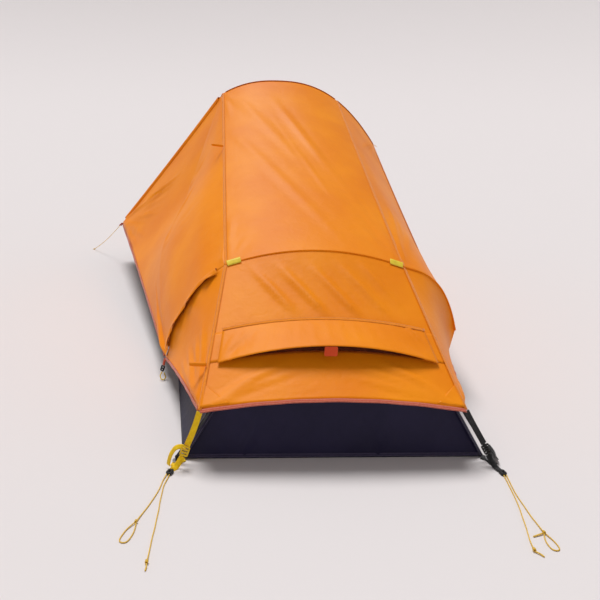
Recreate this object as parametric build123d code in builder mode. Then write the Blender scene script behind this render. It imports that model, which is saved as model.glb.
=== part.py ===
"""One-person side-entry tent on hubbed poles: fly, inner tent, pole frame, fittings and guy cords.

Millimetres. The origin is on the ground under the middle of the floor. +Y runs from the foot to the
head, +X is the tent's right side, the vestibule is on -X, +Z is up.
"""
import math
import os

from build123d import *

# Floor and bathtub
FLOOR_LENGTH = 2150.0
FOOT_WIDTH = 765.0
HEAD_WIDTH = 960.0
TUB_HEIGHT = 136.0
TUB_LEAN_FOOT_SIDE = 82.0
TUB_LEAN_FOOT_END = 17.0
TUB_LEAN_HEAD = 44.0
TUB_CLOTH = 1.0

# Cloth
CLOTH = 0.8
SEAM_GAP = 0.45

# Fly: brow over the foot, peak line over the head
BROW_BACK = 419.0
BROW_HALF_WIDTH = 267.0
BROW_HEIGHT = 390.0
BROW_CROWN = 48.0
PEAK_FROM_FOOT = 1607.0
PEAK_HEIGHT = 918.0
PEAK_FALL = 1876.0
PEAK_POWER = 2.413
LEFT_SHOULDER = 240.0
RIGHT_SEAM = 270.0
RIGHT_SHOULDER = 446.0
HEM_OUT = 20.0
HEM_HEIGHT = 142.0
HEM_ARCH = 29.0
HEM_INSET_LEFT = 40.0
HEM_INSET_RIGHT = 64.0
HEAD_HEM_OUT = 25.0
HEAD_HEM_HALF_WIDTH = 466.0
HEAD_SEAM_LIFT = 14.5
VENT_TOP = 0.46
VENT_BOTTOM = 0.30
HOOD_LOWER = 0.26
HOOD_STANDOFF = 34.0

# Poles and their joints
POLE_R = 4.35
POLE_BORE = 3.6
SOCKET_CLEARANCE = 0.6
SOCKET_R = 6.6
SOCKET_LENGTH = 26.0
SOCKET_STOP = 9.0
POLE_END_GAP = 0.6
HUB_R = 8.6
SPREADER_CLEARANCE = 0.9
SPREADER_DROP = 15.0
FERRULE_R = 5.1
FERRULE_LENGTH = 60.0
HUB_DROP = 22.0
TIP_HEIGHT = 18.0
TIP_BALL_R = 5.0
TIP_OUT = 12.0
GROMMET_R = 11.0
GROMMET_HOLE_R = 4.0
GROMMET_THICKNESS = 3.0
GROMMET_Z = 2.5
WEBBING_WIDTH = 15.0
WEBBING = 1.2

# Cords
CORD_D = 2.5
CORD_Z = 0.5 * CORD_D + 0.1

os.makedirs("parts", exist_ok=True)

FOOT_Y = -0.5 * FLOOR_LENGTH
HEAD_Y = 0.5 * FLOOR_LENGTH
BROW_Y = FOOT_Y + BROW_BACK
PEAK_Y = FOOT_Y + PEAK_FROM_FOOT
HEM_Y = FOOT_Y - HEM_OUT
HEAD_HEM_Y = HEAD_Y + HEAD_HEM_OUT


def peak_z(x):
    """Height of the fly over the spreader pole."""
    return PEAK_HEIGHT - PEAK_FALL * abs(x / 1000.0) ** PEAK_POWER


def between(start, end, share):
    """The point a share of the way from start to end."""
    return tuple(a + (b - a) * share for a, b in zip(start, end))


def mirrored(point):
    """The same point on the other side of the tent."""
    return (-point[0], point[1], point[2])


def save(piece, label):
    """Label a finished piece and write it to its own file."""
    piece.part.label = label
    export_step(piece.part, f"parts/{label}.step")


def save_group(pieces, label):
    """Write pieces of the same kind to one file."""
    group = Compound([solid for piece in pieces for solid in piece.part.solids()])
    group.label = label
    export_step(group, f"parts/{label}.step")


# ---------------------------------------------------------------- cloth

def inset(outline, gap):
    """Move each corner of an outline inwards, so that each edge lies gap inside its seam."""
    corners = [Vector(*p) for p in outline]
    middle = sum(corners[1:], corners[0]) / len(corners)
    inward = []
    for start, end in zip(corners, corners[1:] + corners[:1]):
        along = (end - start).normalized()
        across = middle - (start + end) / 2
        inward.append((across - along * across.dot(along)).normalized())
    moved = []
    for index, corner in enumerate(corners):
        before, after = inward[index - 1], inward[index]
        step = (before + after) * (gap / (1 + before.dot(after)))
        moved.append(tuple(corner + step))
    return moved


def row_facets(near, far):
    """Triangles between two rows of as many points."""
    facets = []
    for i in range(len(near) - 1):
        facets.append((near[i], near[i + 1], far[i]))
        facets.append((near[i + 1], far[i + 1], far[i]))
    return facets


def strip(row_a, row_b):
    """Triangles of one panel that spans two rows of as many points."""
    outline = inset(list(row_a) + list(row_b)[::-1], SEAM_GAP)
    return row_facets(outline[:len(row_a)], outline[len(row_a):][::-1])


def fan(outline):
    """Triangles of one panel that spread from the outline's first corner."""
    corners = inset(outline, SEAM_GAP)
    return [(corners[0], a, b) for a, b in zip(corners[1:], corners[2:])]


def facet_normal(facet):
    """The unit normal of a flat facet."""
    first, second, third = (Vector(*corner) for corner in facet)
    return (second - first).cross(third - first).normalized()


def edges_of(facet):
    """The facet's edges, in the order of its corners."""
    first, second, third = facet
    return [(first, second), (second, third), (third, first)]


def same_way_round(facets):
    """The facets with their corners all in one sense, so that neighbours run a shared edge both ways."""
    waiting = list(facets)
    turned = [waiting.pop(0)]
    while waiting:
        walked = [edge for facet in turned for edge in edges_of(facet)]
        for facet in waiting:
            along = any(edge in walked for edge in edges_of(facet))
            against = any(edge[::-1] in walked for edge in edges_of(facet))
            if along or against:
                turned.append(facet[::-1] if along else facet)
                waiting.remove(facet)
                break
        else:
            raise ValueError("a panel's facets must be joined along their edges")
    return turned


def cloth(facets, thickness=CLOTH):
    """One sewn panel: flat facets that share their corners, thickened evenly to both sides."""
    facets = same_way_round(facets)
    normals = {}
    for facet in facets:
        for corner in facet:
            normals.setdefault(corner, []).append(facet_normal(facet))
    upper, lower = {}, {}
    for corner, around in normals.items():
        mean = sum(around[1:], around[0]).normalized()
        reach = 0.5 * thickness * len(around) / sum(mean.dot(normal) for normal in around)
        upper[corner] = tuple(Vector(*corner) + mean * reach)
        lower[corner] = tuple(Vector(*corner) - mean * reach)
    corners = [[upper[p] for p in facet] for facet in facets]
    corners += [[lower[p] for p in facet[::-1]] for facet in facets]
    walked = [edge for facet in facets for edge in edges_of(facet)]
    for start, end in walked:
        if (end, start) not in walked:
            corners.append([upper[end], upper[start], lower[start]])
            corners.append([upper[end], lower[start], lower[end]])
    with BuildPart() as panel:
        add(Solid(Shell([Face(Wire.make_polygon(trio)) for trio in corners])))
    return panel


def lifted(start, end, side, along, across, lift):
    """A point beside the seam start-end: along it, across it towards side, and lift outwards."""
    a, b, c = Vector(*start), Vector(*end), Vector(*side)
    run = (b - a).normalized()
    normal = run.cross(c - a).normalized()
    if normal.dot(a - Vector(0, 0, 300)) < 0:
        normal = -normal
    over = (c - a) - run * run.dot(c - a)
    return tuple(a + run * along + over.normalized() * across + normal * lift)


def seam_plane(start, end, side, along, across, lift):
    """A plane on the panel beside a seam: x runs along the seam, z points outwards."""
    a, b = Vector(*start), Vector(*end)
    origin = Vector(*lifted(start, end, side, along, across, lift))
    outer = Vector(*lifted(start, end, side, along, across, lift + 1.0))
    return Plane(origin=origin, x_dir=b - a, z_dir=outer - origin)


# Corners of the fly
hem_left = (-(0.5 * FOOT_WIDTH - HEM_INSET_LEFT), HEM_Y, HEM_HEIGHT)
hem_right = (0.5 * FOOT_WIDTH - HEM_INSET_RIGHT, HEM_Y, HEM_HEIGHT)
brow_left = (-BROW_HALF_WIDTH, BROW_Y, BROW_HEIGHT)
brow_right = mirrored(brow_left)
left_peak = (-LEFT_SHOULDER, PEAK_Y, peak_z(LEFT_SHOULDER))
right_peak = (RIGHT_SEAM, PEAK_Y, peak_z(RIGHT_SEAM))
right_bend = (360.0, PEAK_Y, peak_z(360.0))
right_tab = (RIGHT_SHOULDER, PEAK_Y, peak_z(RIGHT_SHOULDER))
right_arch = (395.0, BROW_Y + 28.0, 318.0)
right_kink = (465.0, BROW_Y + 49.0, 173.0)
right_foot_hem = (468.0, BROW_Y + 96.0, 70.0)
right_side_hem = (550.0, PEAK_Y, 60.0)
left_arch = (-385.0, BROW_Y + 31.0, 250.0)
door_foot = (-445.0, BROW_Y + 74.0, 69.0)
door_fold_high = (-388.0, PEAK_Y - 282.0, 457.0)
door_fold_low = (-480.0, PEAK_Y - 652.0, 300.0)
stake_point = (-725.0, PEAK_Y + 355.0, 195.0)
head_right = (HEAD_HEM_HALF_WIDTH, HEAD_HEM_Y, HEM_HEIGHT)
head_left = mirrored(head_right)
head_knee_right = (0.5 * HEAD_WIDTH - 28.0, HEAD_Y - 3.0, HEM_HEIGHT + 22.0)
head_knee_left = mirrored(head_knee_right)


def leg_bend(hub_at, knee):
    """The bend of a head leg, pushed outwards from the straight line to its knee."""
    x, y, z = between(hub_at, knee, 0.42)
    return (x + math.copysign(12.0, knee[0]), y + 50.0, z + 34.0)


SPREADER_TOP = PEAK_HEIGHT - SPREADER_DROP
SPREADER_END_X = RIGHT_SHOULDER - 10.0
SPREADER_END_Z = right_tab[2] - 23.0
SPREADER_RADIUS = (SPREADER_END_X ** 2 + (SPREADER_TOP - SPREADER_END_Z) ** 2) / (
    2 * (SPREADER_TOP - SPREADER_END_Z))


def spreader_point(x):
    """A point on the centreline of the spreader pole."""
    z = SPREADER_TOP - SPREADER_RADIUS + math.sqrt(SPREADER_RADIUS ** 2 - x * x)
    return (x, PEAK_Y, z)


PEAK_HUB_LEFT_X = -215.0
PEAK_HUB_RIGHT_X = 252.0
peak_hub_left_at = spreader_point(PEAK_HUB_LEFT_X)
peak_hub_right_at = spreader_point(PEAK_HUB_RIGHT_X)
head_bend_left = leg_bend(peak_hub_left_at, head_knee_left)
head_bend_right = leg_bend(peak_hub_right_at, head_knee_right)


def over_bend(bend):
    """The fly's seam where it passes over a head leg's bend."""
    return (bend[0], bend[1] + HEAD_SEAM_LIFT, bend[2] + 0.7 * HEAD_SEAM_LIFT)


head_seam_left = over_bend(head_bend_left)
head_seam_right = over_bend(head_bend_right)

sides = (-1.0, -0.5, 0.0, 0.5, 1.0)


def hem_point(side):
    """A point of the foot hem, from -1 at the left corner to 1 at the right."""
    x, y, z = between(hem_left, hem_right, 0.5 * (side + 1))
    return (x, y, z + HEM_ARCH * (1 - side * side))


def brow_point(side):
    """A point of the brow, from -1 at its left end to 1 at its right."""
    return (BROW_HALF_WIDTH * side, BROW_Y, BROW_HEIGHT + BROW_CROWN * (1 - side * side))


def foot_row(share):
    """A row of the foot wall, a share of the way up from the hem to the brow."""
    return [between(hem_point(side), brow_point(side), share) for side in sides]


brow_row = foot_row(1.0)
peak_row = [left_peak, (-120.0, PEAK_Y, peak_z(120.0)), (0.0, PEAK_Y, PEAK_HEIGHT),
            (140.0, PEAK_Y, peak_z(140.0)), right_peak]
quarters = (0.0, 0.25, 0.5, 0.75, 1.0)
bend_row = [between(head_seam_left, head_seam_right, share) for share in quarters]
head_row = [between(head_left, head_right, share) for share in quarters]

fly_roof = cloth(strip(brow_row, peak_row))
save(fly_roof, "fly_roof")

fly_right_side = cloth(strip([brow_right, right_arch, right_kink], [right_peak, right_bend, right_tab]))
save(fly_right_side, "fly_right_side")

fly_right_skirt = cloth(strip([right_kink, right_foot_hem], [right_tab, right_side_hem]))
save(fly_right_skirt, "fly_right_skirt")

fly_right_gore = cloth(fan([hem_right, brow_right, right_arch, right_kink, right_foot_hem]))
fly_left_gore = cloth(fan([hem_left, brow_left, left_arch, door_foot]))
save_group([fly_left_gore, fly_right_gore], "fly_foot_gores")

head_outline = inset(peak_row + [head_seam_right] + head_row[::-1] + [head_seam_left], SEAM_GAP)
upper_row, lower_row = head_outline[:5], head_outline[6:11][::-1]
middle_row = [head_outline[11]] + bend_row[1:4] + [head_outline[5]]

fly_head_wall = cloth(row_facets(upper_row, middle_row) + row_facets(middle_row, lower_row))
save(fly_head_wall, "fly_head_wall")

fly_right_rear = cloth(fan([head_seam_right, head_right, right_side_hem, right_tab, right_bend,
                            right_peak]))
save(fly_right_rear, "fly_right_rear")

fly_left_rear = cloth(fan([stake_point, head_left, head_seam_left, left_peak]))
save(fly_left_rear, "fly_left_rear")

fly_foot_wall = cloth(strip(foot_row(VENT_TOP), brow_row))
save(fly_foot_wall, "fly_foot_wall")

fly_foot_skirt = cloth(strip(foot_row(0.0), foot_row(VENT_BOTTOM)))
save(fly_foot_skirt, "fly_foot_skirt")

foot_vent_mesh = cloth(strip(foot_row(VENT_BOTTOM), foot_row(VENT_TOP)))
save(foot_vent_mesh, "foot_vent_mesh")

# The vent hood hangs from the seam over the mesh and stands off it in the middle
HOOD_START = 1.6


def hood_point(side, share, standoff):
    """A point outside the foot wall, standing off it most at the middle."""
    x, y, z = between(hem_point(side), brow_point(side), share)
    slope = math.atan2(BROW_HEIGHT - HEM_HEIGHT, BROW_BACK + HEM_OUT)
    off = HOOD_START + standoff * (1 - side * side)
    return (x, y - off * math.sin(slope), z + off * math.cos(slope))


hood_sides = [0.92 * side for side in sides]
hood_top = [hood_point(side, VENT_TOP + 0.03, 0.0) for side in hood_sides]
hood_edge = [hood_point(side, HOOD_LOWER, HOOD_STANDOFF) for side in hood_sides]
foot_vent_hood = cloth(strip(hood_top, hood_edge))
save(foot_vent_hood, "foot_vent_hood")

# A stiffened tab under the middle of the hood holds the vent open
PROP_WIDTH = 34.0
PROP_LENGTH = 26.0
PROP_THICKNESS = 1.6
prop_hinge = hood_point(0.0, HOOD_LOWER, HOOD_STANDOFF - 2.6)
with BuildPart() as vent_prop:
    with BuildSketch(Plane(origin=prop_hinge, x_dir=(1, 0, 0), z_dir=(0, -1, 0))):
        with Locations((0, -0.5 * PROP_LENGTH)):
            RectangleRounded(PROP_WIDTH, PROP_LENGTH, 4)
    extrude(amount=PROP_THICKNESS / 2, both=True)
save(vent_prop, "vent_prop")

# The vestibule door is the whole left side of the fly, folded along a crease above its hem
door_outline = inset([brow_left, left_arch, door_foot, stake_point, left_peak], SEAM_GAP)
door_brow, door_arch, door_toe, door_stake, door_peak = door_outline
vestibule_door = cloth([
    (door_brow, door_peak, door_fold_high),
    (door_brow, door_fold_high, door_fold_low),
    (door_brow, door_fold_low, door_arch),
    (door_arch, door_fold_low, door_toe),
    (door_peak, door_stake, door_fold_high),
    (door_fold_high, door_stake, door_fold_low),
    (door_fold_low, door_stake, door_toe),
])
save(vestibule_door, "vestibule_door")

# Storm flaps: rooted on the door, they stand off over the zips
FLAP_ROOT = 12.0
FLAP_ROOT_LIFT = 1.2
FLAP_CREST = 10.0
FLAP_OVER = 24.0
FLAP_RISE = 13.0


def flap(start, end, door_side, fixed_side, start_stop):
    """A storm flap along one straight stretch of zip: root, crest over the seam, and free edge."""
    length = (Vector(*end) - Vector(*start)).length
    root, crest, edge = [], [], []
    for along in (start_stop, length - 30.0):
        root.append(lifted(start, end, door_side, along, FLAP_ROOT, FLAP_ROOT_LIFT))
        crest.append(between(lifted(start, end, door_side, along, 0.0, FLAP_CREST),
                             lifted(start, end, fixed_side, along, 0.0, FLAP_CREST), 0.5))
        edge.append(lifted(start, end, fixed_side, along, FLAP_OVER, FLAP_RISE))
    return row_facets(root, crest) + row_facets(crest, edge)


near_flap = cloth(flap(door_foot, left_arch, door_fold_low, hem_left, 8.0))
upper_flap = cloth(flap(left_arch, brow_left, door_fold_low, hem_left, 8.0))
save_group([near_flap, upper_flap], "near_storm_flap")
far_flap = cloth(flap(stake_point, left_peak, door_fold_high, head_seam_left, 40.0))
save(far_flap, "far_storm_flap")

# Zip tapes lie on the fixed panels, along the two straight openings
TAPE_WIDTH = 10.0
TAPE = 0.8
TAPE_IN = 6.5
TAPE_LIFT = 0.5 * CLOTH + 0.1
SLIDER_LENGTH = 13.0
SLIDER_WIDTH = 8.0
SLIDER_HEIGHT = 3.4
SLIDER_LIFT = TAPE_LIFT + TAPE + 0.2
PULL_LENGTH = 24.0
PULL_WIDTH = 5.0
PULL = 1.2


def zip_tape(start, end, side):
    """The tape and closed coil of one straight zip."""
    length = (Vector(*end) - Vector(*start)).length
    with BuildPart() as tape:
        plane = seam_plane(start, end, side, 0.5 * length, TAPE_IN, TAPE_LIFT)
        with BuildSketch(plane):
            Rectangle(length - 24.0, TAPE_WIDTH)
        extrude(amount=TAPE)
    return tape


def zip_slider(start, end, side, along):
    """A slider body with its bridge, riding on the tape."""
    with BuildPart() as slider:
        plane = seam_plane(start, end, side, along, TAPE_IN, SLIDER_LIFT)
        with BuildSketch(plane):
            RectangleRounded(SLIDER_LENGTH, SLIDER_WIDTH, 2.5)
        extrude(amount=SLIDER_HEIGHT)
        fillet(slider.edges().group_by(Axis(plane.origin, plane.z_dir))[-1], 0.6)
    return slider


def zip_pull(start, end, side, along):
    """A pull tab that lies beyond the slider, hinged on its lower end."""
    with BuildPart() as pull:
        hinge = along - 0.5 * SLIDER_LENGTH - 0.3
        plane = seam_plane(start, end, side, hinge - 0.5 * PULL_LENGTH, TAPE_IN, SLIDER_LIFT + 0.8)
        with BuildSketch(plane):
            SlotOverall(PULL_LENGTH, PULL_WIDTH)
            with Locations((0.5 * PULL_LENGTH - 3.0, 0)):
                Circle(1.1, mode=Mode.SUBTRACT)
        extrude(amount=PULL)
    return pull


NEAR_SLIDER_AT = 42.0
FAR_SLIDER_AT = 46.0
save(zip_slider(door_foot, left_arch, hem_left, NEAR_SLIDER_AT), "near_zip_slider")
save(zip_pull(door_foot, left_arch, hem_left, NEAR_SLIDER_AT), "near_zip_pull")
save_group([zip_tape(door_foot, left_arch, hem_left), zip_tape(stake_point, left_peak, head_seam_left)],
     "zip_tapes")
save(zip_slider(stake_point, left_peak, head_seam_left, FAR_SLIDER_AT), "far_zip_slider")
save(zip_pull(stake_point, left_peak, head_seam_left, FAR_SLIDER_AT), "far_zip_pull")

# ---------------------------------------------------------------- inner tent

floor_foot_left = (-0.5 * FOOT_WIDTH, FOOT_Y, 0.5 * TUB_CLOTH)
floor_head_left = (-0.5 * HEAD_WIDTH, HEAD_Y, 0.5 * TUB_CLOTH)
tub_foot_left = (-0.5 * FOOT_WIDTH + TUB_LEAN_FOOT_SIDE, FOOT_Y + TUB_LEAN_FOOT_END, TUB_HEIGHT)
tub_head_left = (-0.5 * HEAD_WIDTH + TUB_LEAN_HEAD, HEAD_Y - TUB_LEAN_HEAD, TUB_HEIGHT)
floor_foot_right, floor_head_right = mirrored(floor_foot_left), mirrored(floor_head_left)
tub_foot_right, tub_head_right = mirrored(tub_foot_left), mirrored(tub_head_left)

bathtub_floor = cloth([
    (floor_foot_left, floor_foot_right, floor_head_right),
    (floor_foot_left, floor_head_right, floor_head_left),
    (floor_foot_left, floor_foot_right, tub_foot_right),
    (floor_foot_left, tub_foot_right, tub_foot_left),
    (floor_head_left, floor_head_right, tub_head_right),
    (floor_head_left, tub_head_right, tub_head_left),
    (floor_foot_left, floor_head_left, tub_head_left),
    (floor_foot_left, tub_head_left, tub_foot_left),
    (floor_foot_right, floor_head_right, tub_head_right),
    (floor_foot_right, tub_head_right, tub_foot_right),
], TUB_CLOTH)
save(bathtub_floor, "bathtub_floor")

# The inner canopy hangs inside the poles
INNER_BROW_DROP = 45.0
INNER_BROW_IN = 29.0
inner_brow_left = (-(BROW_HALF_WIDTH - INNER_BROW_IN), BROW_Y + 16.0, BROW_HEIGHT - INNER_BROW_DROP)
inner_brow_right = mirrored(inner_brow_left)
inner_brow_top = (0.0, BROW_Y + 16.0, BROW_HEIGHT + BROW_CROWN - INNER_BROW_DROP)
inner_peak_left = (-(LEFT_SHOULDER - 52.0), PEAK_Y, left_peak[2] - 45.0)
inner_peak_right = (RIGHT_SEAM - 34.0, PEAK_Y, right_peak[2] - 44.0)
inner_peak_top = (0.0, PEAK_Y, PEAK_HEIGHT - 50.0)
tub_foot_middle = between(tub_foot_left, tub_foot_right, 0.5)
tub_head_middle = between(tub_head_left, tub_head_right, 0.5)

inner_roof = cloth(strip([inner_brow_left, inner_brow_top, inner_brow_right],
                         [inner_peak_left, inner_peak_top, inner_peak_right]))
save(inner_roof, "inner_roof")

inner_foot_wall = cloth(strip([tub_foot_left, tub_foot_middle, tub_foot_right],
                              [inner_brow_left, inner_brow_top, inner_brow_right]))
inner_head_wall = cloth(strip([inner_peak_left, inner_peak_top, inner_peak_right],
                              [tub_head_left, tub_head_middle, tub_head_right]))
save_group([inner_foot_wall, inner_head_wall], "inner_end_walls")

inner_right_wall = cloth(strip([tub_foot_right, tub_head_right], [inner_brow_right, inner_peak_right]))
save(inner_right_wall, "inner_right_wall")

DOOR_FOOT_SHARE = 0.29
DOOR_HEAD_SHARE = 0.78
sill_foot = between(tub_foot_left, tub_head_left, DOOR_FOOT_SHARE)
sill_head = between(tub_foot_left, tub_head_left, DOOR_HEAD_SHARE)
lintel_foot = between(inner_brow_left, inner_peak_left, 0.22)
lintel_head = between(inner_brow_left, inner_peak_left, 0.93)

inner_left_foot_wall = cloth(fan([tub_foot_left, sill_foot, lintel_foot, inner_brow_left]))
inner_left_head_wall = cloth(fan([tub_head_left, inner_peak_left, lintel_head, sill_head]))
save_group([inner_left_foot_wall, inner_left_head_wall], "inner_left_wall")

inner_door = cloth(fan([sill_foot, sill_head, lintel_head, lintel_foot]))
save(inner_door, "inner_door")

# ---------------------------------------------------------------- pole frame

brow_hub_left_at = (-(BROW_HALF_WIDTH - 12.0), BROW_Y + 6.0, BROW_HEIGHT - HUB_DROP)
brow_hub_right_at = mirrored(brow_hub_left_at)
foot_tip_left = (-(0.5 * FOOT_WIDTH + TIP_OUT), FOOT_Y - 15.0, TIP_HEIGHT)
foot_tip_right = mirrored(foot_tip_left)
head_tip_left = (-(0.5 * HEAD_WIDTH + TIP_OUT), HEAD_Y + 15.0, TIP_HEIGHT)
head_tip_right = mirrored(head_tip_left)
ELBOW_X = 311.0
elbow_left = (-ELBOW_X, FOOT_Y - 8.0, HEM_HEIGHT - 1.0)
elbow_right = mirrored(elbow_left)


def towards(start, end, distance):
    """The point a distance from start on the way to end."""
    a, b = Vector(*start), Vector(*end)
    return tuple(a + (b - a).normalized() * distance)


def heading(start, end):
    """The unit direction from start to end."""
    return (Vector(*end) - Vector(*start)).normalized()


def tube_along(path):
    """Sweep the pole's hollow section along a finished path."""
    with BuildPart() as pole:
        with BuildSketch(Plane(origin=path @ 0, z_dir=path % 0)):
            Circle(POLE_R)
            Circle(POLE_BORE, mode=Mode.SUBTRACT)
        sweep(path=path)
    return pole


def bent_leg(tip, elbow, hub):
    """A foot leg: steep below the elbow, then along the corner seam to the brow hub."""
    with BuildLine() as path:
        FilletPolyline(tip, elbow, towards(hub, elbow, SOCKET_STOP), radius=70)
    return tube_along(path.wire())


def straight_pole(start, end):
    """A straight section that ends in two hubs."""
    with BuildLine() as path:
        Line(towards(start, end, SOCKET_STOP), towards(end, start, SOCKET_STOP))
    return tube_along(path.edge())


def from_socket(arc):
    """The arc without the stretch inside the hub that it starts in."""
    return arc.trim((SOCKET_STOP + POLE_END_GAP) / arc.length, 1.0)


def head_leg(hub_at, bend, knee, tip):
    """A head leg: from the peak hub over a long bend to a knee above the ground."""
    with BuildLine() as path:
        FilletPolyline(towards(hub_at, bend, SOCKET_STOP), bend, knee, tip, radius=(500, 70))
    return tube_along(path.wire())


save(bent_leg(foot_tip_left, elbow_left, brow_hub_left_at), "left_foot_leg")
save(bent_leg(foot_tip_right, elbow_right, brow_hub_right_at), "right_foot_leg")
save_group([straight_pole(brow_hub_left_at, peak_hub_left_at),
              straight_pole(brow_hub_right_at, peak_hub_right_at)], "ridge_poles")
save_group([head_leg(peak_hub_left_at, head_bend_left, head_knee_left, head_tip_left),
              head_leg(peak_hub_right_at, head_bend_right, head_knee_right, head_tip_right)], "head_legs")

BROW_POLE_RISE = 40.0
with BuildLine() as brow_arc:
    ThreePointArc(brow_hub_left_at, (0, brow_hub_left_at[1], brow_hub_left_at[2] + BROW_POLE_RISE),
                  brow_hub_right_at)
brow_margin = (SOCKET_STOP + POLE_END_GAP) / brow_arc.edge().length
save(tube_along(brow_arc.edge().trim(brow_margin, 1 - brow_margin)), "brow_pole")

with BuildLine() as spreader_arc:
    ThreePointArc(peak_hub_left_at, spreader_point(0.0), spreader_point(SPREADER_END_X))
save(tube_along(from_socket(spreader_arc.edge())), "spreader_pole")


def hub(centre, sockets, through=None):
    """A moulded hub: a ball with one blind socket for each pole, and a clear hole for a crossing pole."""
    with BuildPart() as body:
        with Locations(centre):
            Sphere(HUB_R)
        for direction in sockets:
            with Locations(Plane(origin=centre, z_dir=direction)):
                Cylinder(SOCKET_R, SOCKET_LENGTH, align=(Align.CENTER, Align.CENTER, Align.MIN))
        for direction in sockets:
            mouth = Vector(*centre) + direction * SOCKET_STOP
            with Locations(Plane(origin=mouth, z_dir=direction)):
                Cylinder(POLE_R + SOCKET_CLEARANCE, SOCKET_LENGTH, mode=Mode.SUBTRACT,
                         align=(Align.CENTER, Align.CENTER, Align.MIN))
        if through is not None:
            with Locations(Plane(origin=centre, z_dir=through)):
                Cylinder(POLE_R + SPREADER_CLEARANCE, 4 * HUB_R, mode=Mode.SUBTRACT)
    return body


brow_arc_start = brow_arc.edge() % 0
brow_arc_end = -(brow_arc.edge() % 1)
spreader_socket = heading(peak_hub_left_at, spreader_arc.edge() @ (SOCKET_LENGTH / spreader_arc.edge().length))
right_crossing = Vector(math.sqrt(SPREADER_RADIUS ** 2 - PEAK_HUB_RIGHT_X ** 2), 0, -PEAK_HUB_RIGHT_X)
save_group([
    hub(brow_hub_left_at, [brow_arc_start, heading(brow_hub_left_at, elbow_left),
                           heading(brow_hub_left_at, peak_hub_left_at)]),
    hub(brow_hub_right_at, [brow_arc_end, heading(brow_hub_right_at, elbow_right),
                            heading(brow_hub_right_at, peak_hub_right_at)]),
    hub(peak_hub_left_at, [heading(peak_hub_left_at, brow_hub_left_at),
                           heading(peak_hub_left_at, head_bend_left), spreader_socket]),
    hub(peak_hub_right_at, [heading(peak_hub_right_at, brow_hub_right_at),
                            heading(peak_hub_right_at, head_bend_right)], right_crossing.normalized()),
], "pole_hubs")


# Ferrules sleeve the break in each long pole
def sleeve(path_line, share):
    """A ferrule round a pole, at a share of its length."""
    with BuildPart() as ferrule:
        with BuildSketch(Plane(origin=path_line @ share, z_dir=path_line % share)):
            Circle(FERRULE_R)
            Circle(POLE_R + 0.05, mode=Mode.SUBTRACT)
        extrude(amount=0.5 * FERRULE_LENGTH, both=True)
    return ferrule


ridge_left = Edge.make_line(towards(brow_hub_left_at, peak_hub_left_at, SOCKET_STOP),
                            towards(peak_hub_left_at, brow_hub_left_at, SOCKET_STOP))
ridge_right = Edge.make_line(towards(brow_hub_right_at, peak_hub_right_at, SOCKET_STOP),
                             towards(peak_hub_right_at, brow_hub_right_at, SOCKET_STOP))
with BuildPart() as pole_ferrules:
    for ridge in (ridge_left, ridge_right):
        for ridge_share in (0.33, 0.67):
            add(sleeve(ridge, ridge_share).part)
save(pole_ferrules, "pole_ferrules")

# Each leg ends in a ball tip whose spigot stands in a grommet on the corner's webbing
tips = (foot_tip_left, foot_tip_right, head_tip_left, head_tip_right)
legs_up = (heading(foot_tip_left, elbow_left), heading(foot_tip_right, elbow_right),
           heading(head_tip_left, head_knee_left), heading(head_tip_right, head_knee_right))
balls = [tuple(Vector(*tip) - up * (TIP_BALL_R - 0.7)) for tip, up in zip(tips, legs_up)]
with BuildPart() as pole_tips:
    for ball in balls:
        with Locations(ball):
            Sphere(TIP_BALL_R)
            Cylinder(GROMMET_HOLE_R - 0.5, ball[2] - GROMMET_Z - 0.1,
                     align=(Align.CENTER, Align.CENTER, Align.MAX))
save(pole_tips, "pole_tips")

with BuildPart() as corner_grommets:
    for ball in balls:
        with BuildSketch(Plane(origin=(ball[0], ball[1], GROMMET_Z))):
            Circle(GROMMET_R)
            Circle(GROMMET_HOLE_R, mode=Mode.SUBTRACT)
        extrude(amount=GROMMET_THICKNESS)
save(corner_grommets, "corner_grommets")

# Clips hold the inner tent to the ridge poles
CLIP_R = 7.2
CLIP_LENGTH = 9.0
CLIP_TAPE = 8.0
CLIP_TAPE_STOP = 1.0


def clip(pole_line, seam_start, seam_end, share):
    """A C-clip round a pole, with its tape down to the seam of the inner tent."""
    centre, along = pole_line @ share, pole_line % share
    run = Vector(*seam_end) - Vector(*seam_start)
    reach = (centre - Vector(*seam_start)).dot(run) / run.dot(run)
    seam = Vector(*seam_start) + run * reach
    down = (seam - centre).normalized()
    length = (seam - centre).length - CLIP_TAPE_STOP
    with BuildPart() as piece:
        with BuildSketch(Plane(origin=centre, x_dir=down, z_dir=along)):
            Circle(CLIP_R)
            Circle(POLE_R + 0.3, mode=Mode.SUBTRACT)
        extrude(amount=0.5 * CLIP_LENGTH, both=True)
        with BuildSketch(Plane(origin=centre, x_dir=down, z_dir=along)):
            with Locations((0.5 * (CLIP_R - 1.0 + length), 0)):
                Rectangle(length - CLIP_R + 1.0, 1.0)
        extrude(amount=0.5 * CLIP_TAPE, both=True)
    return piece


with BuildPart() as inner_clips:
    for clip_share in (0.18, 0.5, 0.82):
        add(clip(ridge_left, inner_brow_left, inner_peak_left, clip_share).part)
        add(clip(ridge_right, inner_brow_right, inner_peak_right, clip_share).part)
save(inner_clips, "inner_clips")

# ---------------------------------------------------------------- bindings and webbing

BINDING_WIDTH = 9.0
BINDING = 1.2


def binding(edges, side):
    """Hem binding: a band just below each straight hem edge, in the plane of its panel."""
    with BuildPart() as band:
        for start, end in edges:
            length = (Vector(*end) - Vector(*start)).length
            middle = seam_plane(start, end, side, 0.5 * length, -0.5 * BINDING_WIDTH - 0.2, -0.5 * BINDING)
            with BuildSketch(middle):
                Rectangle(length - 4.0, BINDING_WIDTH)
            extrude(amount=BINDING)
    return band


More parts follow.
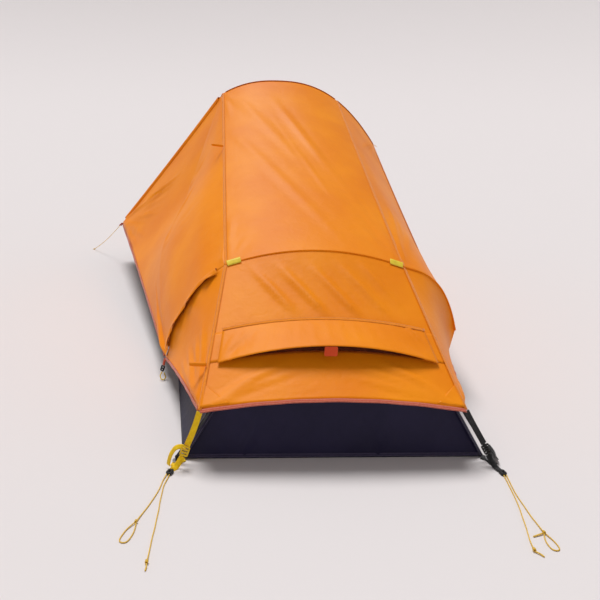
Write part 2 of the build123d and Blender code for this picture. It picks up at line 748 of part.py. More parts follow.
hem_row = foot_row(0.0)
save_group([binding(list(zip(hem_row, hem_row[1:])), brow_point(0.0)),
              binding([(between(hem_left, door_foot, 0.06), door_foot)], brow_left),
              binding([(between(hem_right, right_foot_hem, 0.06), right_foot_hem)], right_kink),
              binding([(right_foot_hem, right_side_hem)], right_tab)], "hem_binding")
save(binding([(door_foot, stake_point)], door_fold_low), "door_hem_binding")


def strap(stretches, facing, width=WEBBING_WIDTH):
    """Flat webbing along straight stretches, its faces turned the way facing points."""
    with BuildPart() as band:
        for start, end in stretches:
            run = Vector(*end) - Vector(*start)
            face = Vector(*facing)
            face = face - run * (face.dot(run) / run.dot(run))
            with BuildSketch(Plane(origin=between(start, end, 0.5), x_dir=run, z_dir=face)):
                Rectangle(run.length, width)
            extrude(amount=0.5 * WEBBING, both=True)
    return band


def frame_buckle(centre, run, facing, length, width, thickness, slots):
    """A plastic buckle frame with cross slots for the webbing."""
    along = Vector(*run)
    face = Vector(*facing)
    face = face - along * (face.dot(along) / along.dot(along))
    with BuildPart() as buckle:
        with BuildSketch(Plane(origin=centre, x_dir=along, z_dir=face)):
            RectangleRounded(length, width, 4)
            for offset in slots:
                with Locations((offset, 0)):
                    Rectangle(3.2, width - 6.0, mode=Mode.SUBTRACT)
        extrude(amount=0.5 * thickness, both=True)
        fillet(buckle.edges().filter_by(GeomType.CIRCLE), 0.8)
    return buckle


LOCK_LENGTH = 20.0
LOCK_WIDTH = 15.0
LOCK_HEIGHT = 7.0
FLOOR_WEB_Z = 1.6
STRAP_Y = FOOT_Y - 36.0
left_adjuster_at = (-377.0, STRAP_Y, 42.0)
right_adjuster_at = (376.0, STRAP_Y, 42.0)
left_lock_at = (-412.0, FOOT_Y - 66.0, 0.5 * LOCK_HEIGHT + 0.2)
right_lock_at = (402.0, FOOT_Y - 82.0, 0.5 * LOCK_HEIGHT + 0.2)
ADJUSTER_LENGTH = 26.0
ADJUSTER_WIDTH = 21.0
ADJUSTER_THICKNESS = 4.5


def corner_set(hem_corner, adjuster_at, lock_at, tip, floor_corner, leave_gap, names):
    """The strap, adjuster, floor webbing and cord lock of one foot corner."""
    top = (hem_corner[0], HEM_Y - 1.7, hem_corner[2] - 4.0)
    base = (0.5 * (tip[0] + lock_at[0]), 0.5 * (tip[1] + lock_at[1]) - 6.0, FLOOR_WEB_Z + 3.0)
    down = heading(top, adjuster_at)
    meet = tuple(Vector(*adjuster_at) - down * (0.5 * ADJUSTER_LENGTH + 0.7))
    save(strap([(top, meet)], (0, -1, 0)), names[0])
    save(frame_buckle(adjuster_at, down, (0, -1, 0), ADJUSTER_LENGTH, ADJUSTER_WIDTH,
                      ADJUSTER_THICKNESS, (-7.0, 0.0, 7.0)), names[1])
    leave = tuple(Vector(*adjuster_at) + down * (0.5 * ADJUSTER_LENGTH + leave_gap))
    lock_end = towards(lock_at, (base[0], base[1], lock_at[2]), 0.5 * LOCK_LENGTH + 0.2)
    lock_end = (lock_end[0], lock_end[1], FLOOR_WEB_Z)
    with BuildPart() as web:
        add(strap([(leave, base)], (0, -1, 0)).part)
        add(strap([((base[0], base[1], FLOOR_WEB_Z), lock_end)], (0, 0, 1)).part)
        add(strap([((floor_corner[0], floor_corner[1] - 8.0, FLOOR_WEB_Z), (base[0], base[1], FLOOR_WEB_Z))],
                  (0, 0, 1)).part)
    save(web, names[2])
    with BuildPart() as lock:
        run = Vector(*lock_at) - Vector(base[0], base[1], lock_at[2])
        with BuildSketch(Plane(origin=(lock_at[0], lock_at[1], 0.2), x_dir=run, z_dir=(0, 0, 1))):
            RectangleRounded(LOCK_LENGTH, LOCK_WIDTH, 5)
            with Locations((2.0, 0)):
                SlotOverall(8.0, 4.0, mode=Mode.SUBTRACT)
        extrude(amount=LOCK_HEIGHT)
        fillet(lock.faces().sort_by(Axis.Z)[-1].outer_wire().edges(), 1.6)
    save(lock, names[3])


corner_set(hem_left, left_adjuster_at, left_lock_at, foot_tip_left, floor_foot_left, 3.0,
           ("left_foot_strap", "left_ladder_lock", "left_foot_webbing", "left_cord_lock"))
corner_set(hem_right, right_adjuster_at, right_lock_at, foot_tip_right, floor_foot_right, 1.0,
           ("right_foot_strap", "right_buckle", "right_foot_webbing", "right_cord_lock"))

# Webbing at the head corners and at the ends of the vestibule hem
HEAD_STRAP_OUT = 14.0
VESTIBULE_PULL = (-0.525, 0.636, -0.566)
door_buckle_at = (-455.0, door_foot[1] - 8.0, 34.0)


def head_corner(hem_corner, tip, floor_corner):
    """Floor webbing and hem strap of one head corner."""
    low = (tip[0], tip[1] + HEAD_STRAP_OUT, FLOOR_WEB_Z)
    with BuildPart() as web:
        add(strap([((floor_corner[0], floor_corner[1] + 8.0, FLOOR_WEB_Z), low)], (0, 0, 1)).part)
        add(strap([((low[0], low[1], FLOOR_WEB_Z), (hem_corner[0], hem_corner[1] + 2.5, hem_corner[2] - 4.0))],
                  (0, 1, 0)).part)
    return web


save_group([head_corner(head_left, head_tip_left, floor_head_left),
              head_corner(head_right, head_tip_right, floor_head_right)], "head_corner_webbing")

stake_strap_start = towards(stake_point, tuple(Vector(*stake_point) + Vector(*VESTIBULE_PULL)), 1.2)
stake_strap_end = towards(stake_point, tuple(Vector(*stake_point) + Vector(*VESTIBULE_PULL)), 32.0)
buckle_drop = heading(door_foot, door_buckle_at)
door_strap_start = tuple(Vector(*door_foot) + buckle_drop * 5.0)
door_strap_end = tuple(Vector(*door_buckle_at) - buckle_drop * 9.2)
save_group([strap([(stake_strap_start, stake_strap_end)], (0, 0, 1)),
              strap([(door_strap_start, door_strap_end)], (-1, -1, 0), 10.0)], "vestibule_webbing")
save(frame_buckle(door_buckle_at, buckle_drop, (-1, -1, 0), 18.0, 15.0, 4.0, (-4.0, 4.0)), "door_foot_buckle")

# Reflective tabs at the ends of the brow and a loop where the spreader pole meets the fly
TAB_LENGTH = 42.0
TAB_OFF = 0.5 * CLOTH + 0.3


def brow_tab(corner, neighbour, side):
    """A flat tab sewn over one end of the brow."""
    with BuildPart() as tab:
        with BuildSketch(seam_plane(corner, neighbour, side, 0.5 * TAB_LENGTH + 6.0, 12.0, TAB_OFF)):
            Rectangle(TAB_LENGTH, WEBBING_WIDTH)
        extrude(amount=WEBBING)
    return tab


tab_end = (right_tab[0] + 20.0, PEAK_Y, right_tab[2] - 12.0)
save_group([brow_tab(brow_left, brow_point(-0.5), left_peak),
              brow_tab(brow_right, brow_point(0.5), peak_row[3]),
              strap([(towards(right_tab, tab_end, 1.0), tab_end)], (0, 0, 1))], "guy_tabs")

# Rolled toggles that hold the open door
TOGGLE_R = 4.5
TOGGLE_LENGTH = 44.0
TOGGLE_OFF = TOGGLE_R + 0.5 * CLOTH + 0.6


def toggle(start, end, side, along):
    """A rolled toggle that lies across a panel, its end at the seam."""
    plane = seam_plane(start, end, side, along, 0.5 * TOGGLE_LENGTH + 3.0, TOGGLE_OFF)
    with BuildPart() as roll:
        with Locations(Plane(origin=plane.origin, x_dir=plane.x_dir, z_dir=plane.y_dir)):
            Cylinder(TOGGLE_R, TOGGLE_LENGTH)
        fillet(roll.edges(), 1.5)
    return roll


save_group([toggle(hem_left, brow_left, left_arch, 130.0), toggle(brow_left, left_peak, brow_point(-0.5), 760.0)],
     "door_toggles")

# ---------------------------------------------------------------- guy cords

BEND_SHARE = 0.45


def cord(label, points):
    """A limp cord along a hand-chosen route, each corner rounded as far as its runs allow."""
    runs = [Vector(*end) - Vector(*start) for start, end in zip(points, points[1:])]
    radii = []
    for before, after in zip(runs, runs[1:]):
        half_turn = math.radians(0.5 * before.get_angle(after))
        radii.append(BEND_SHARE * min(before.length, after.length) / math.tan(half_turn))
    print(label, "bend radii", [round(radius) for radius in radii])
    with BuildPart() as line:
        with BuildLine() as route:
            FilletPolyline(*points, radius=tuple(radii))
        path = route.wire()
        with BuildSketch(Plane(origin=path @ 0, z_dir=path % 0)):
            Circle(0.5 * CORD_D)
        sweep(path=path)
    save(line, label)


cord("left_guy_strand", [(-419.5, -1149.2, 3.2), (-427, -1171, CORD_Z), (-431, -1196, CORD_Z),
                         (-437, -1222, CORD_Z), (-446, -1250, CORD_Z), (-456, -1279, CORD_Z),
                         (-467, -1305, CORD_Z), (-475.6, -1329.7, 3.0)])
cord("left_guy_loop", [(-480.2, -1337.2, 3.0), (-493.4, -1353.7, CORD_Z), (-501.6, -1374.1, CORD_Z),
                       (-507.3, -1393.5, CORD_Z), (-500.5, -1401.4, CORD_Z), (-490.3, -1399.4, CORD_Z),
                       (-482.2, -1380.9, CORD_Z), (-477.3, -1359.3, CORD_Z), (-476.5, -1338.5, 3.0)])
cord("left_guy_tail", [(-413.1, -1152, 3.2), (-419, -1174, CORD_Z), (-425, -1197, CORD_Z),
                       (-427, -1226, CORD_Z), (-430, -1258, CORD_Z), (-431, -1290, CORD_Z),
                       (-434, -1322, CORD_Z), (-436, -1355, CORD_Z), (-440, -1388, CORD_Z),
                       (-442, -1422, CORD_Z), (-444.6, -1454.7, 3.0)])
cord("right_guy_strand", [(406.7, -1167.3, 3.2), (404, -1190, CORD_Z), (400, -1214, CORD_Z),
                          (396, -1240, CORD_Z), (394, -1269, CORD_Z), (393, -1299, CORD_Z),
                          (391, -1330, CORD_Z), (392, -1360, CORD_Z), (391.1, -1386.7, 3.0)])
cord("right_guy_loop", [(393.1, -1395, 3.0), (399, -1411, CORD_Z), (401, -1427, CORD_Z),
                        (400, -1443, CORD_Z), (391, -1448.4, CORD_Z), (382, -1443, CORD_Z),
                        (381, -1427, CORD_Z), (383, -1411, CORD_Z), (388.9, -1395, 3.0)])
cord("right_guy_tail", [(400.3, -1168.2, 3.2), (398, -1191, CORD_Z), (394, -1215, CORD_Z),
                        (390, -1242, CORD_Z), (385, -1271, CORD_Z), (379, -1301, CORD_Z),
                        (371, -1331, CORD_Z), (364, -1361, CORD_Z), (356, -1390, CORD_Z),
                        (348, -1418, CORD_Z), (344.2, -1437.7, 3.0)])
cord("vestibule_guy_cord", [(-742.2, 907.8, 176.5), (-757, 925, 158), (-774, 945.5, 137), (-791, 966.5, 116),
                            (-809, 989, 95), (-827, 1011, 75), (-845.5, 1033, 56.5), (-864, 1055.5, 38.5),
                            (-881.5, 1077, 22), (-899.6, 1099, 6.6)])

# Knots at the cords' ends, with their short tails
KNOT_R = 4.0
KNOT_Z = KNOT_R + 0.1
knots = [(-477, -1334), (-445, -1459), (-446, -1467), (391, -1391), (343, -1442), (343, -1450), (-902, 1102)]
tails = [((-446, -1467), (-447, -1486)), ((391, -1391), (363, -1401)), ((343, -1450), (355, -1466)),
         ((-902, 1102), (-912, 1112))]
with BuildPart() as guy_knots:
    for knot in knots:
        with Locations((knot[0], knot[1], KNOT_Z)):
            Sphere(KNOT_R)
    for knot, tail in tails:
        with BuildLine() as stub:
            Line((knot[0], knot[1], 2.6), (tail[0], tail[1], CORD_Z))
        with BuildSketch(Plane(origin=stub.edge() @ 0, z_dir=stub.edge() % 0)):
            Circle(0.5 * CORD_D)
        sweep(path=stub.edge())
save(guy_knots, "guy_knots")
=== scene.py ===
"""One-person side-entry tent on hubbed poles: the looks, in metres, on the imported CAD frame."""
import math
import random

import bpy
import numpy as np
from mathutils import Matrix, Vector


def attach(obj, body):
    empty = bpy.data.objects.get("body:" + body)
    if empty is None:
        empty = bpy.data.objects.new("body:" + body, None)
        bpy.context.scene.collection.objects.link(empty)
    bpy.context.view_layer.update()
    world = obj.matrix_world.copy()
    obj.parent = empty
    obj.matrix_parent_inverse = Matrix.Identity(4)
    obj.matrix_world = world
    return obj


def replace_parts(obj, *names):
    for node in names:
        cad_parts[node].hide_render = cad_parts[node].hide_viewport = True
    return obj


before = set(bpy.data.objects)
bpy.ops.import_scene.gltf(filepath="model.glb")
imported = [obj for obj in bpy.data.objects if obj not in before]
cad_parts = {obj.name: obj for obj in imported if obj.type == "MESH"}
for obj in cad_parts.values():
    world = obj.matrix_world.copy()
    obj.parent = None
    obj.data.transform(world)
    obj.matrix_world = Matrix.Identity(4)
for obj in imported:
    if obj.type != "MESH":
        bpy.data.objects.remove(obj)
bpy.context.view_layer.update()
rng = random.Random(11)

# ---------------------------------------------------------------- sizes, as in the CAD

FOOT_Y, HEAD_Y = -1.075, 1.075
BROW_Y, PEAK_Y, HEM_Y = -0.656, 0.532, -1.095
BROW_HALF, BROW_Z, BROW_CROWN = 0.267, 0.390, 0.048
HEM_Z, HEM_ARCH = 0.142, 0.029
CLOTH = 0.0007
FOLD_GAIN = 1.9
MIDDLE = np.array([0.0, 0.1, 0.15])


def peak_z(x):
    """Height of the fly over the spreader pole."""
    return 0.918 - 1.876 * abs(x) ** 2.413


hem_left, hem_right = (-0.3425, HEM_Y, HEM_Z), (0.3185, HEM_Y, HEM_Z)
brow_left, brow_right = (-BROW_HALF, BROW_Y, BROW_Z), (BROW_HALF, BROW_Y, BROW_Z)
left_peak, right_peak = (-0.240, PEAK_Y, peak_z(0.240)), (0.270, PEAK_Y, peak_z(0.270))
right_bend, right_tab = (0.360, PEAK_Y, peak_z(0.360)), (0.446, PEAK_Y, peak_z(0.446))
right_arch, right_kink = (0.395, -0.628, 0.318), (0.465, -0.607, 0.173)
right_foot_hem, right_side_hem = (0.468, -0.560, 0.070), (0.550, PEAK_Y, 0.060)
left_arch, door_foot, stake_point = (-0.385, -0.625, 0.250), (-0.445, -0.582, 0.069), (-0.725, 0.887, 0.195)
head_left, head_right = (-0.466, 1.100, HEM_Z), (0.466, 1.100, HEM_Z)
hip_left, hip_right = (-0.3265, 0.8233, 0.6075), (0.348, 0.8233, 0.5956)

# ---------------------------------------------------------------- curves and surfaces


def mix(a, b, share):
    """The point a share of the way from a to b."""
    return np.asarray(a, float) * (1 - share) + np.asarray(b, float) * share


def taut(a, b, sag=0.0):
    """A stretched edge from a to b that hangs by sag in its middle."""
    def at(t):
        point = mix(a, b, t)
        point[2] -= 4 * sag * t * (1 - t)
        return point
    return at


def through(*points):
    """A smooth curve through the points, run at an even rate by their spacing."""
    pts = np.array(points, float)
    knots = np.concatenate([[0], np.cumsum(np.linalg.norm(np.diff(pts, axis=0), axis=1))])
    knots /= knots[-1]
    slopes = np.gradient(pts, knots, axis=0)

    def at(t):
        i = min(max(int(np.searchsorted(knots, t, side="right")) - 1, 0), len(knots) - 2)
        span = knots[i + 1] - knots[i]
        s = (t - knots[i]) / span
        a, b = pts[i], pts[i + 1]
        m, n = slopes[i] * span, slopes[i + 1] * span
        return ((2 * s ** 3 - 3 * s ** 2 + 1) * a + (s ** 3 - 2 * s ** 2 + s) * m
                + (3 * s ** 2 - 2 * s ** 3) * b + (s ** 3 - s ** 2) * n)
    return at


def brow(t):
    """The arch of the brow from left to right."""
    side = 2 * t - 1
    return np.array([BROW_HALF * side, BROW_Y, BROW_Z + BROW_CROWN * (1 - side * side)])


def foot_hem(t):
    """The arched hem at the foot from left to right."""
    side = 2 * t - 1
    point = mix(hem_left, hem_right, t)
    point[2] += HEM_ARCH * (1 - side * side)
    return point


def peak_line(t):
    """The fly's crest over the spreader pole, between the two ridge seams."""
    x = left_peak[0] + (right_peak[0] - left_peak[0]) * t
    return np.array([x, PEAK_Y, peak_z(x)])


def shoulder(t):
    """The crest's right end, from the tab up to the ridge seam."""
    x = right_tab[0] + (right_peak[0] - right_tab[0]) * t
    return np.array([x, PEAK_Y, peak_z(x)])


ridge_left, ridge_right = taut(brow_left, left_peak, 0.004), taut(brow_right, right_peak, 0.004)
corner_left, corner_right = taut(hem_left, brow_left, 0.0), taut(hem_right, brow_right, 0.0)
arch_left = through(door_foot, (-0.425, -0.603, 0.166), left_arch, (-0.335, -0.645, 0.333), brow_left)
arch_right = through(brow_right, (0.336, -0.646, 0.366), right_arch, (0.438, -0.616, 0.247), right_kink)
crease_right = taut(right_kink, right_tab, 0.010)
hips = {-1: through(head_left, hip_left, left_peak), 1: through(head_right, hip_right, right_peak)}


def still(point):
    """A curve shrunk to one point."""
    return lambda t: np.array(point, float)


def coons(bottom, top, start, end, across, up):
    """A patch between four curves: bottom and top run from start to end, start and end run upwards."""
    u, v = np.linspace(0, 1, across + 1), np.linspace(0, 1, up + 1)
    low, high = np.array([bottom(t) for t in u]), np.array([top(t) for t in u])
    near, far = np.array([start(t) for t in v]), np.array([end(t) for t in v])
    U, V = u[None, :, None], v[:, None, None]
    ruled = (1 - V) * low[None] + V * high[None] + (1 - U) * near[:, None] + U * far[:, None]
    corners = ((1 - U) * (1 - V) * low[0] + U * (1 - V) * low[-1] + (1 - U) * V * high[0] + U * V * high[-1])
    return ruled - corners


def normals_of(grid):
    """Unit normals of a grid of points, turned away from the middle of the tent."""
    du, dv = np.gradient(grid, axis=1), np.gradient(grid, axis=0)
    n = np.cross(du, dv)
    n /= np.maximum(np.linalg.norm(n, axis=2, keepdims=True), 1e-9)
    outwards = np.sum(n * (grid - MIDDLE), axis=2).mean()
    return n if outwards > 0 else -n


def rim_fade(shape, reach=0.05):
    """One in the middle of a patch, falling smoothly to nothing at its edges."""
    v, u = np.meshgrid(np.linspace(0, 1, shape[0]), np.linspace(0, 1, shape[1]), indexing="ij")
    near = np.minimum(np.minimum(u, 1 - u), np.minimum(v, 1 - v)) / reach
    s = np.clip(near, 0, 1)
    return s * s * (3 - 2 * s)


def fold(grid, start, end, width, height):
    """The height of one tension fold that runs from start to end and dies away at both."""
    a, b = np.asarray(start, float), np.asarray(end, float)
    run = b - a
    t = np.clip(((grid - a) @ run) / (run @ run), 0, 1)
    d = np.linalg.norm(grid - (a + t[..., None] * run), axis=2) / width
    return height * (1 - 1.1 * d * d) * np.exp(-d * d) * np.sin(math.pi * np.clip(t, 0.02, 0.98)) ** 0.7


def fan_of_folds(grid, origin, first, last, count, reach, width, height):
    """Folds that spread from one tension point, between two directions."""
    total = np.zeros(grid.shape[:2])
    o = np.asarray(origin, float)
    for i in range(count):
        aim = mix(first, last, (i + 0.5 + 0.3 * (rng.random() - 0.5)) / count) - o
        length = reach * (0.65 + 0.6 * rng.random())
        tip = o + aim / np.linalg.norm(aim) * length
        begin = o + aim / np.linalg.norm(aim) * 0.02
        total += fold(grid, begin, tip, width * (0.8 + 0.5 * rng.random()), height * (0.6 + 0.8 * rng.random()))
    return total


def fans(grid, *rows):
    """The summed heights of several fans of folds."""
    return sum(fan_of_folds(grid, *row) for row in rows)


def raised(grid, height, reach=0.05):
    """The patch with its surface raised by height, fading out at its rim."""
    return grid + normals_of(grid) * (FOLD_GAIN * height * rim_fade(grid.shape[:2], reach))[..., None]


def hollow(grid, depth):
    """The slight inward curve of cloth held at its edges."""
    rows, columns = grid.shape[:2]
    v, u = np.meshgrid(np.linspace(0, 1, rows), np.linspace(0, 1, columns), indexing="ij")
    return grid - normals_of(grid) * (depth * 16 * u * (1 - u) * v * (1 - v))[..., None]


# ---------------------------------------------------------------- meshes


def mesh_object(name, vertices, faces):
    """A new object from plain lists of points and faces."""
    mesh = bpy.data.meshes.new(name)
    mesh.from_pydata([tuple(map(float, v)) for v in vertices], [], faces)
    mesh.validate()
    mesh.update()
    mesh.shade_smooth()
    piece = bpy.data.objects.new(name, mesh)
    bpy.context.collection.objects.link(piece)
    return piece


def sewn(name, grids):
    """One continuous sheet from patches whose shared edges have the same points."""
    index, vertices, faces = {}, [], []
    for grid in grids:
        outward = normals_of(grid)
        du, dv = np.gradient(grid, axis=1), np.gradient(grid, axis=0)
        same = np.sum(np.cross(du, dv) * outward, axis=2).sum() > 0
        ids = np.zeros(grid.shape[:2], int)
        for r in range(grid.shape[0]):
            for c in range(grid.shape[1]):
                key = tuple(np.round(grid[r, c], 4))
                if key not in index:
                    index[key] = len(vertices)
                    vertices.append(grid[r, c])
                ids[r, c] = index[key]
        for r in range(grid.shape[0] - 1):
            for c in range(grid.shape[1] - 1):
                quad = [ids[r, c], ids[r, c + 1], ids[r + 1, c + 1], ids[r + 1, c]]
                quad = [int(q) for k, q in enumerate(quad) if q not in quad[:k]]
                if len(quad) > 2:
                    faces.append(quad if same else quad[::-1])
    return mesh_object(name, vertices, faces)


def thicken(piece, thickness=CLOTH, inner_slot=0):
    """Gives a sheet its cloth's thickness, to the inside."""
    solid = piece.modifiers.new("thickness", "SOLIDIFY")
    solid.thickness = thickness
    solid.offset = -1
    solid.material_offset = inner_slot
    return piece


def ribbon(name, centre, across, width, thickness):
    """A flat tape along centre points, its width along the across vectors, with a UV in metres."""
    c = np.array(centre, float)
    a = np.array(across, float)
    a /= np.linalg.norm(a, axis=1, keepdims=True)
    along = np.concatenate([[0], np.cumsum(np.linalg.norm(np.diff(c, axis=0), axis=1))])
    offsets = np.array([-0.5, -0.25, 0.0, 0.25, 0.5]) * width
    vertices = [c[i] + a[i] * o for i in range(len(c)) for o in offsets]
    n = len(offsets)
    faces = [(i * n + k, (i + 1) * n + k, (i + 1) * n + k + 1, i * n + k + 1)
             for i in range(len(c) - 1) for k in range(n - 1)]
    piece = mesh_object(name, vertices, faces)
    uv = piece.data.uv_layers.new(name="tape")
    for loop in piece.data.loops:
        row, column = divmod(loop.vertex_index, n)
        uv.data[loop.index].uv = (along[row], offsets[column])
    solid = piece.modifiers.new("thickness", "SOLIDIFY")
    solid.thickness = thickness
    solid.offset = 0
    return piece


def sampled(curve, count):
    """Evenly stepped points of a curve."""
    return np.array([curve(t) for t in np.linspace(0, 1, count)])


def seam_normals(points, towards):
    """Normals along a seam, square to it and facing roughly the given way."""
    tangent = np.gradient(points, axis=0)
    tangent /= np.linalg.norm(tangent, axis=1, keepdims=True)
    n = np.tile(np.asarray(towards, float), (len(points), 1))
    n -= tangent * np.sum(n * tangent, axis=1, keepdims=True)
    return n / np.linalg.norm(n, axis=1, keepdims=True), tangent


def length_of(curve, count=80):
    """Length of a curve."""
    return float(np.sum(np.linalg.norm(np.diff(sampled(curve, count), axis=0), axis=1)))


def between(a, b):
    """Distance between two points."""
    return float(np.linalg.norm(np.asarray(a, float) - np.asarray(b, float)))


# ---------------------------------------------------------------- materials


def shader_node(tree, kind, feeds=None, values=None, **settings):
    """A shader node with its settings and input values, its inputs linked to their feeds."""
    made = tree.nodes.new("ShaderNode" + kind)
    for key, value in settings.items():
        setattr(made, key, value)
    for key, value in (values or {}).items():
        made.inputs[key].default_value = value
    for key, source in (feeds or {}).items():
        tree.links.new(source, made.inputs[key])
    return made


def maths(tree, operation, *terms):
    """The result of a maths node whose terms are sockets or numbers."""
    made = shader_node(tree, "Math", operation=operation)
    for socket, term in zip(made.inputs, terms):
        if isinstance(term, float):
            socket.default_value = term
        else:
            tree.links.new(term, socket)
    return made.outputs[0]


def new_material(name, colour, roughness, sheen=0.0, metallic=0.0, gloss=0.3):
    """A principled material and its node tree."""
    material = bpy.data.materials.new(name)
    material.use_nodes = True
    tree = material.node_tree
    shader = tree.nodes["Principled BSDF"]
    for key, value in {"Base Color": (*colour, 1), "Roughness": roughness, "Metallic": metallic,
                       "Sheen Weight": sheen, "Sheen Roughness": 0.4, "Specular IOR Level": gloss}.items():
        shader.inputs[key].default_value = value
    return material, tree, shader


def varied(tree, shader, dark, light, scale):
    """Soft colour variation between two tones."""
    coords = shader_node(tree, "TexCoord")
    noise = shader_node(tree, "TexNoise", {"Vector": coords.outputs["Object"]}, {"Scale": scale, "Detail": 4.0})
    ramp = shader_node(tree, "ValToRGB", {"Fac": noise.outputs["Fac"]})
    for i, (position, tone) in enumerate(((0.32, dark), (0.68, light))):
        ramp.color_ramp.elements[i].position = position
        ramp.color_ramp.elements[i].color = (*tone, 1)
    tree.links.new(ramp.outputs["Color"], shader.inputs["Base Color"])
    return coords, noise


def bumped(tree, shader, height, strength, distance):
    """Feeds a height into the shader's normal."""
    bump = shader_node(tree, "Bump", {"Height": height}, {"Strength": strength, "Distance": distance})
    tree.links.new(bump.outputs["Normal"], shader.inputs["Normal"])


def grid_lines(tree, coords, spacing, axes):
    """Fine crossing ridges of a ripstop or mesh weave."""
    waves = [shader_node(tree, "TexWave", {"Vector": coords.outputs["Object"]}, {"Scale": 0.31 / spacing},
                         bands_direction=axis).outputs["Fac"] for axis in axes]
    return maths(tree, "POWER", maths(tree, "MAXIMUM", *waves), 6.0)


def coated_cloth(name, dark, light, roughness=0.48, crinkle=0.3, sheen=0.03):
    """Coated ripstop: soft tone changes, a fine grid and small crinkles."""
    material, tree, shader = new_material(name, light, roughness, sheen, gloss=0.16)
    coords, _ = varied(tree, shader, dark, light, 5.0)
    weave = grid_lines(tree, coords, 0.004, ("X", "Y"))
    crinkles = shader_node(tree, "TexNoise", {"Vector": coords.outputs["Object"]},
                           {"Scale": 34.0, "Detail": 5.0, "Distortion": 0.6})
    bumped(tree, shader, maths(tree, "MULTIPLY_ADD", weave, 0.05, crinkles.outputs["Fac"]), crinkle, 0.004)
    return material


def webbing(name, dark, light, stitch=None, rows=(), pitch=0.0035):
    """Woven tape: ribs across it, and rows of stitches if it has them."""
    material, tree, shader = new_material(name, light, 0.75, 0.3)
    uv = shader_node(tree, "UVMap", uv_map="tape")
    split = shader_node(tree, "SeparateXYZ", {0: uv.outputs["UV"]})
    ribs = maths(tree, "PINGPONG", split.outputs["X"], 0.0009)
    _, noise = varied(tree, shader, dark, light, 160.0)
    height = maths(tree, "MULTIPLY_ADD", ribs, 700.0, noise.outputs["Fac"])
    if rows:
        in_row = None
        for row in rows:
            mask = maths(tree, "COMPARE", split.outputs["Y"], row, 0.0005)
            in_row = mask if in_row is None else maths(tree, "MULTIPLY_ADD", mask, 1.0, in_row)
        dash = maths(tree, "WRAP", split.outputs["X"], 0.0, pitch)
        stitches = maths(tree, "MULTIPLY", in_row, maths(tree, "LESS_THAN", dash, 0.68 * pitch))
        source = shader.inputs["Base Color"].links[0].from_socket
        paint = shader_node(tree, "Mix", {"Factor": stitches, "A": source}, {"B": (*stitch, 1)}, data_type="RGBA")
        tree.links.new(paint.outputs["Result"], shader.inputs["Base Color"])
        height = maths(tree, "MULTIPLY_ADD", stitches, 1.2, height)
    bumped(tree, shader, height, 0.5, 0.001)
    return material


def moulded(name, colour, roughness=0.42, metallic=0.0, grain=220.0):
    """Moulded plastic or metal with a fine grain and slightly uneven gloss."""
    material, tree, shader = new_material(name, colour, roughness, 0.0, metallic)
    coords, noise = varied(tree, shader, tuple(0.75 * c for c in colour), colour, 40.0)
    fine = shader_node(tree, "TexNoise", {"Vector": coords.outputs["Object"]}, {"Scale": grain})
    spread = shader_node(tree, "MapRange", {"Value": noise.outputs["Fac"]},
                         {"To Min": roughness - 0.1, "To Max": roughness + 0.12})
    tree.links.new(spread.outputs["Result"], shader.inputs["Roughness"])
    bumped(tree, shader, fine.outputs["Fac"], 0.15, 0.0006)
    return material


def braided(name, dark, light):
    """Braided cord: slanting strands in two tones."""
    material, tree, shader = new_material(name, light, 0.7, 0.3)
    coords, noise = varied(tree, shader, dark, light, 500.0)
    wave = shader_node(tree, "TexWave", {"Vector": coords.outputs["Object"]},
                       {"Scale": 180.0, "Distortion": 2.0}, bands_direction="DIAGONAL")
    bumped(tree, shader, maths(tree, "MULTIPLY_ADD", wave.outputs["Fac"], 0.8, noise.outputs["Fac"]), 0.6, 0.0008)
    return material


def net(name, colour):
    """Fine dark netting."""
    material, tree, shader = new_material(name, colour, 0.85, 0.1)
    coords, _ = varied(tree, shader, tuple(0.5 * c for c in colour), colour, 60.0)
    bumped(tree, shader, grid_lines(tree, coords, 0.0015, ("X", "Z")), 0.8, 0.001)
    return material


ORANGE_LIGHT, ORANGE_DARK = (0.92, 0.285, 0.003), (0.84, 0.225, 0.002)
fly_cloth = coated_cloth("fly_cloth", ORANGE_DARK, ORANGE_LIGHT)
# darker copy of the fly orange for the inner faces and the far flap's underside: painted shade
fly_inside_painted_shade = coated_cloth("fly_inside_painted_shade", (0.50, 0.13, 0.012), (0.58, 0.16, 0.015))
# deep red copy of the fly cloth for the undersides of the near storm flap and the vent hood: painted shade
flap_underside_painted_shade = coated_cloth("flap_underside_painted_shade", (0.30, 0.035, 0.012), (0.36, 0.05, 0.016))
tub_cloth = coated_cloth("tub_cloth", (0.009, 0.007, 0.028), (0.015, 0.012, 0.042), 0.45, 0.3, 0.0)
inner_cloth = net("inner_cloth", (0.42, 0.37, 0.33))
# real netting, its colour a deep red-brown that stands for the shade under the hood: painted shade
vent_net_painted_shade = net("vent_net_painted_shade", (0.24, 0.045, 0.008))
red_tape = webbing("red_tape", (0.50, 0.085, 0.045), (0.60, 0.12, 0.07), (0.75, 0.35, 0.2), (0.0028, -0.0028))
seam_tape = webbing("seam_tape", ORANGE_DARK, ORANGE_LIGHT, (0.58, 0.155, 0.006), (0.0032, -0.0032), 0.005)
tub_seam = webbing("tub_seam", (0.018, 0.014, 0.04), (0.028, 0.022, 0.055), (0.10, 0.08, 0.16), (0.003, -0.003))
yellow_web = webbing("yellow_web", (0.80, 0.48, 0.002), (0.93, 0.62, 0.006))
black_web = webbing("black_web", (0.010, 0.010, 0.011), (0.03, 0.03, 0.032))
red_web = webbing("red_web", (0.42, 0.05, 0.02), (0.55, 0.085, 0.035))
guy_cord = braided("guy_cord", (0.62, 0.36, 0.03), (0.92, 0.60, 0.07))
reflective = moulded("reflective", (0.95, 0.72, 0.06), 0.35, 0.0, 300.0)
pole_metal = moulded("pole_metal", (0.06, 0.06, 0.065), 0.3, 0.85)
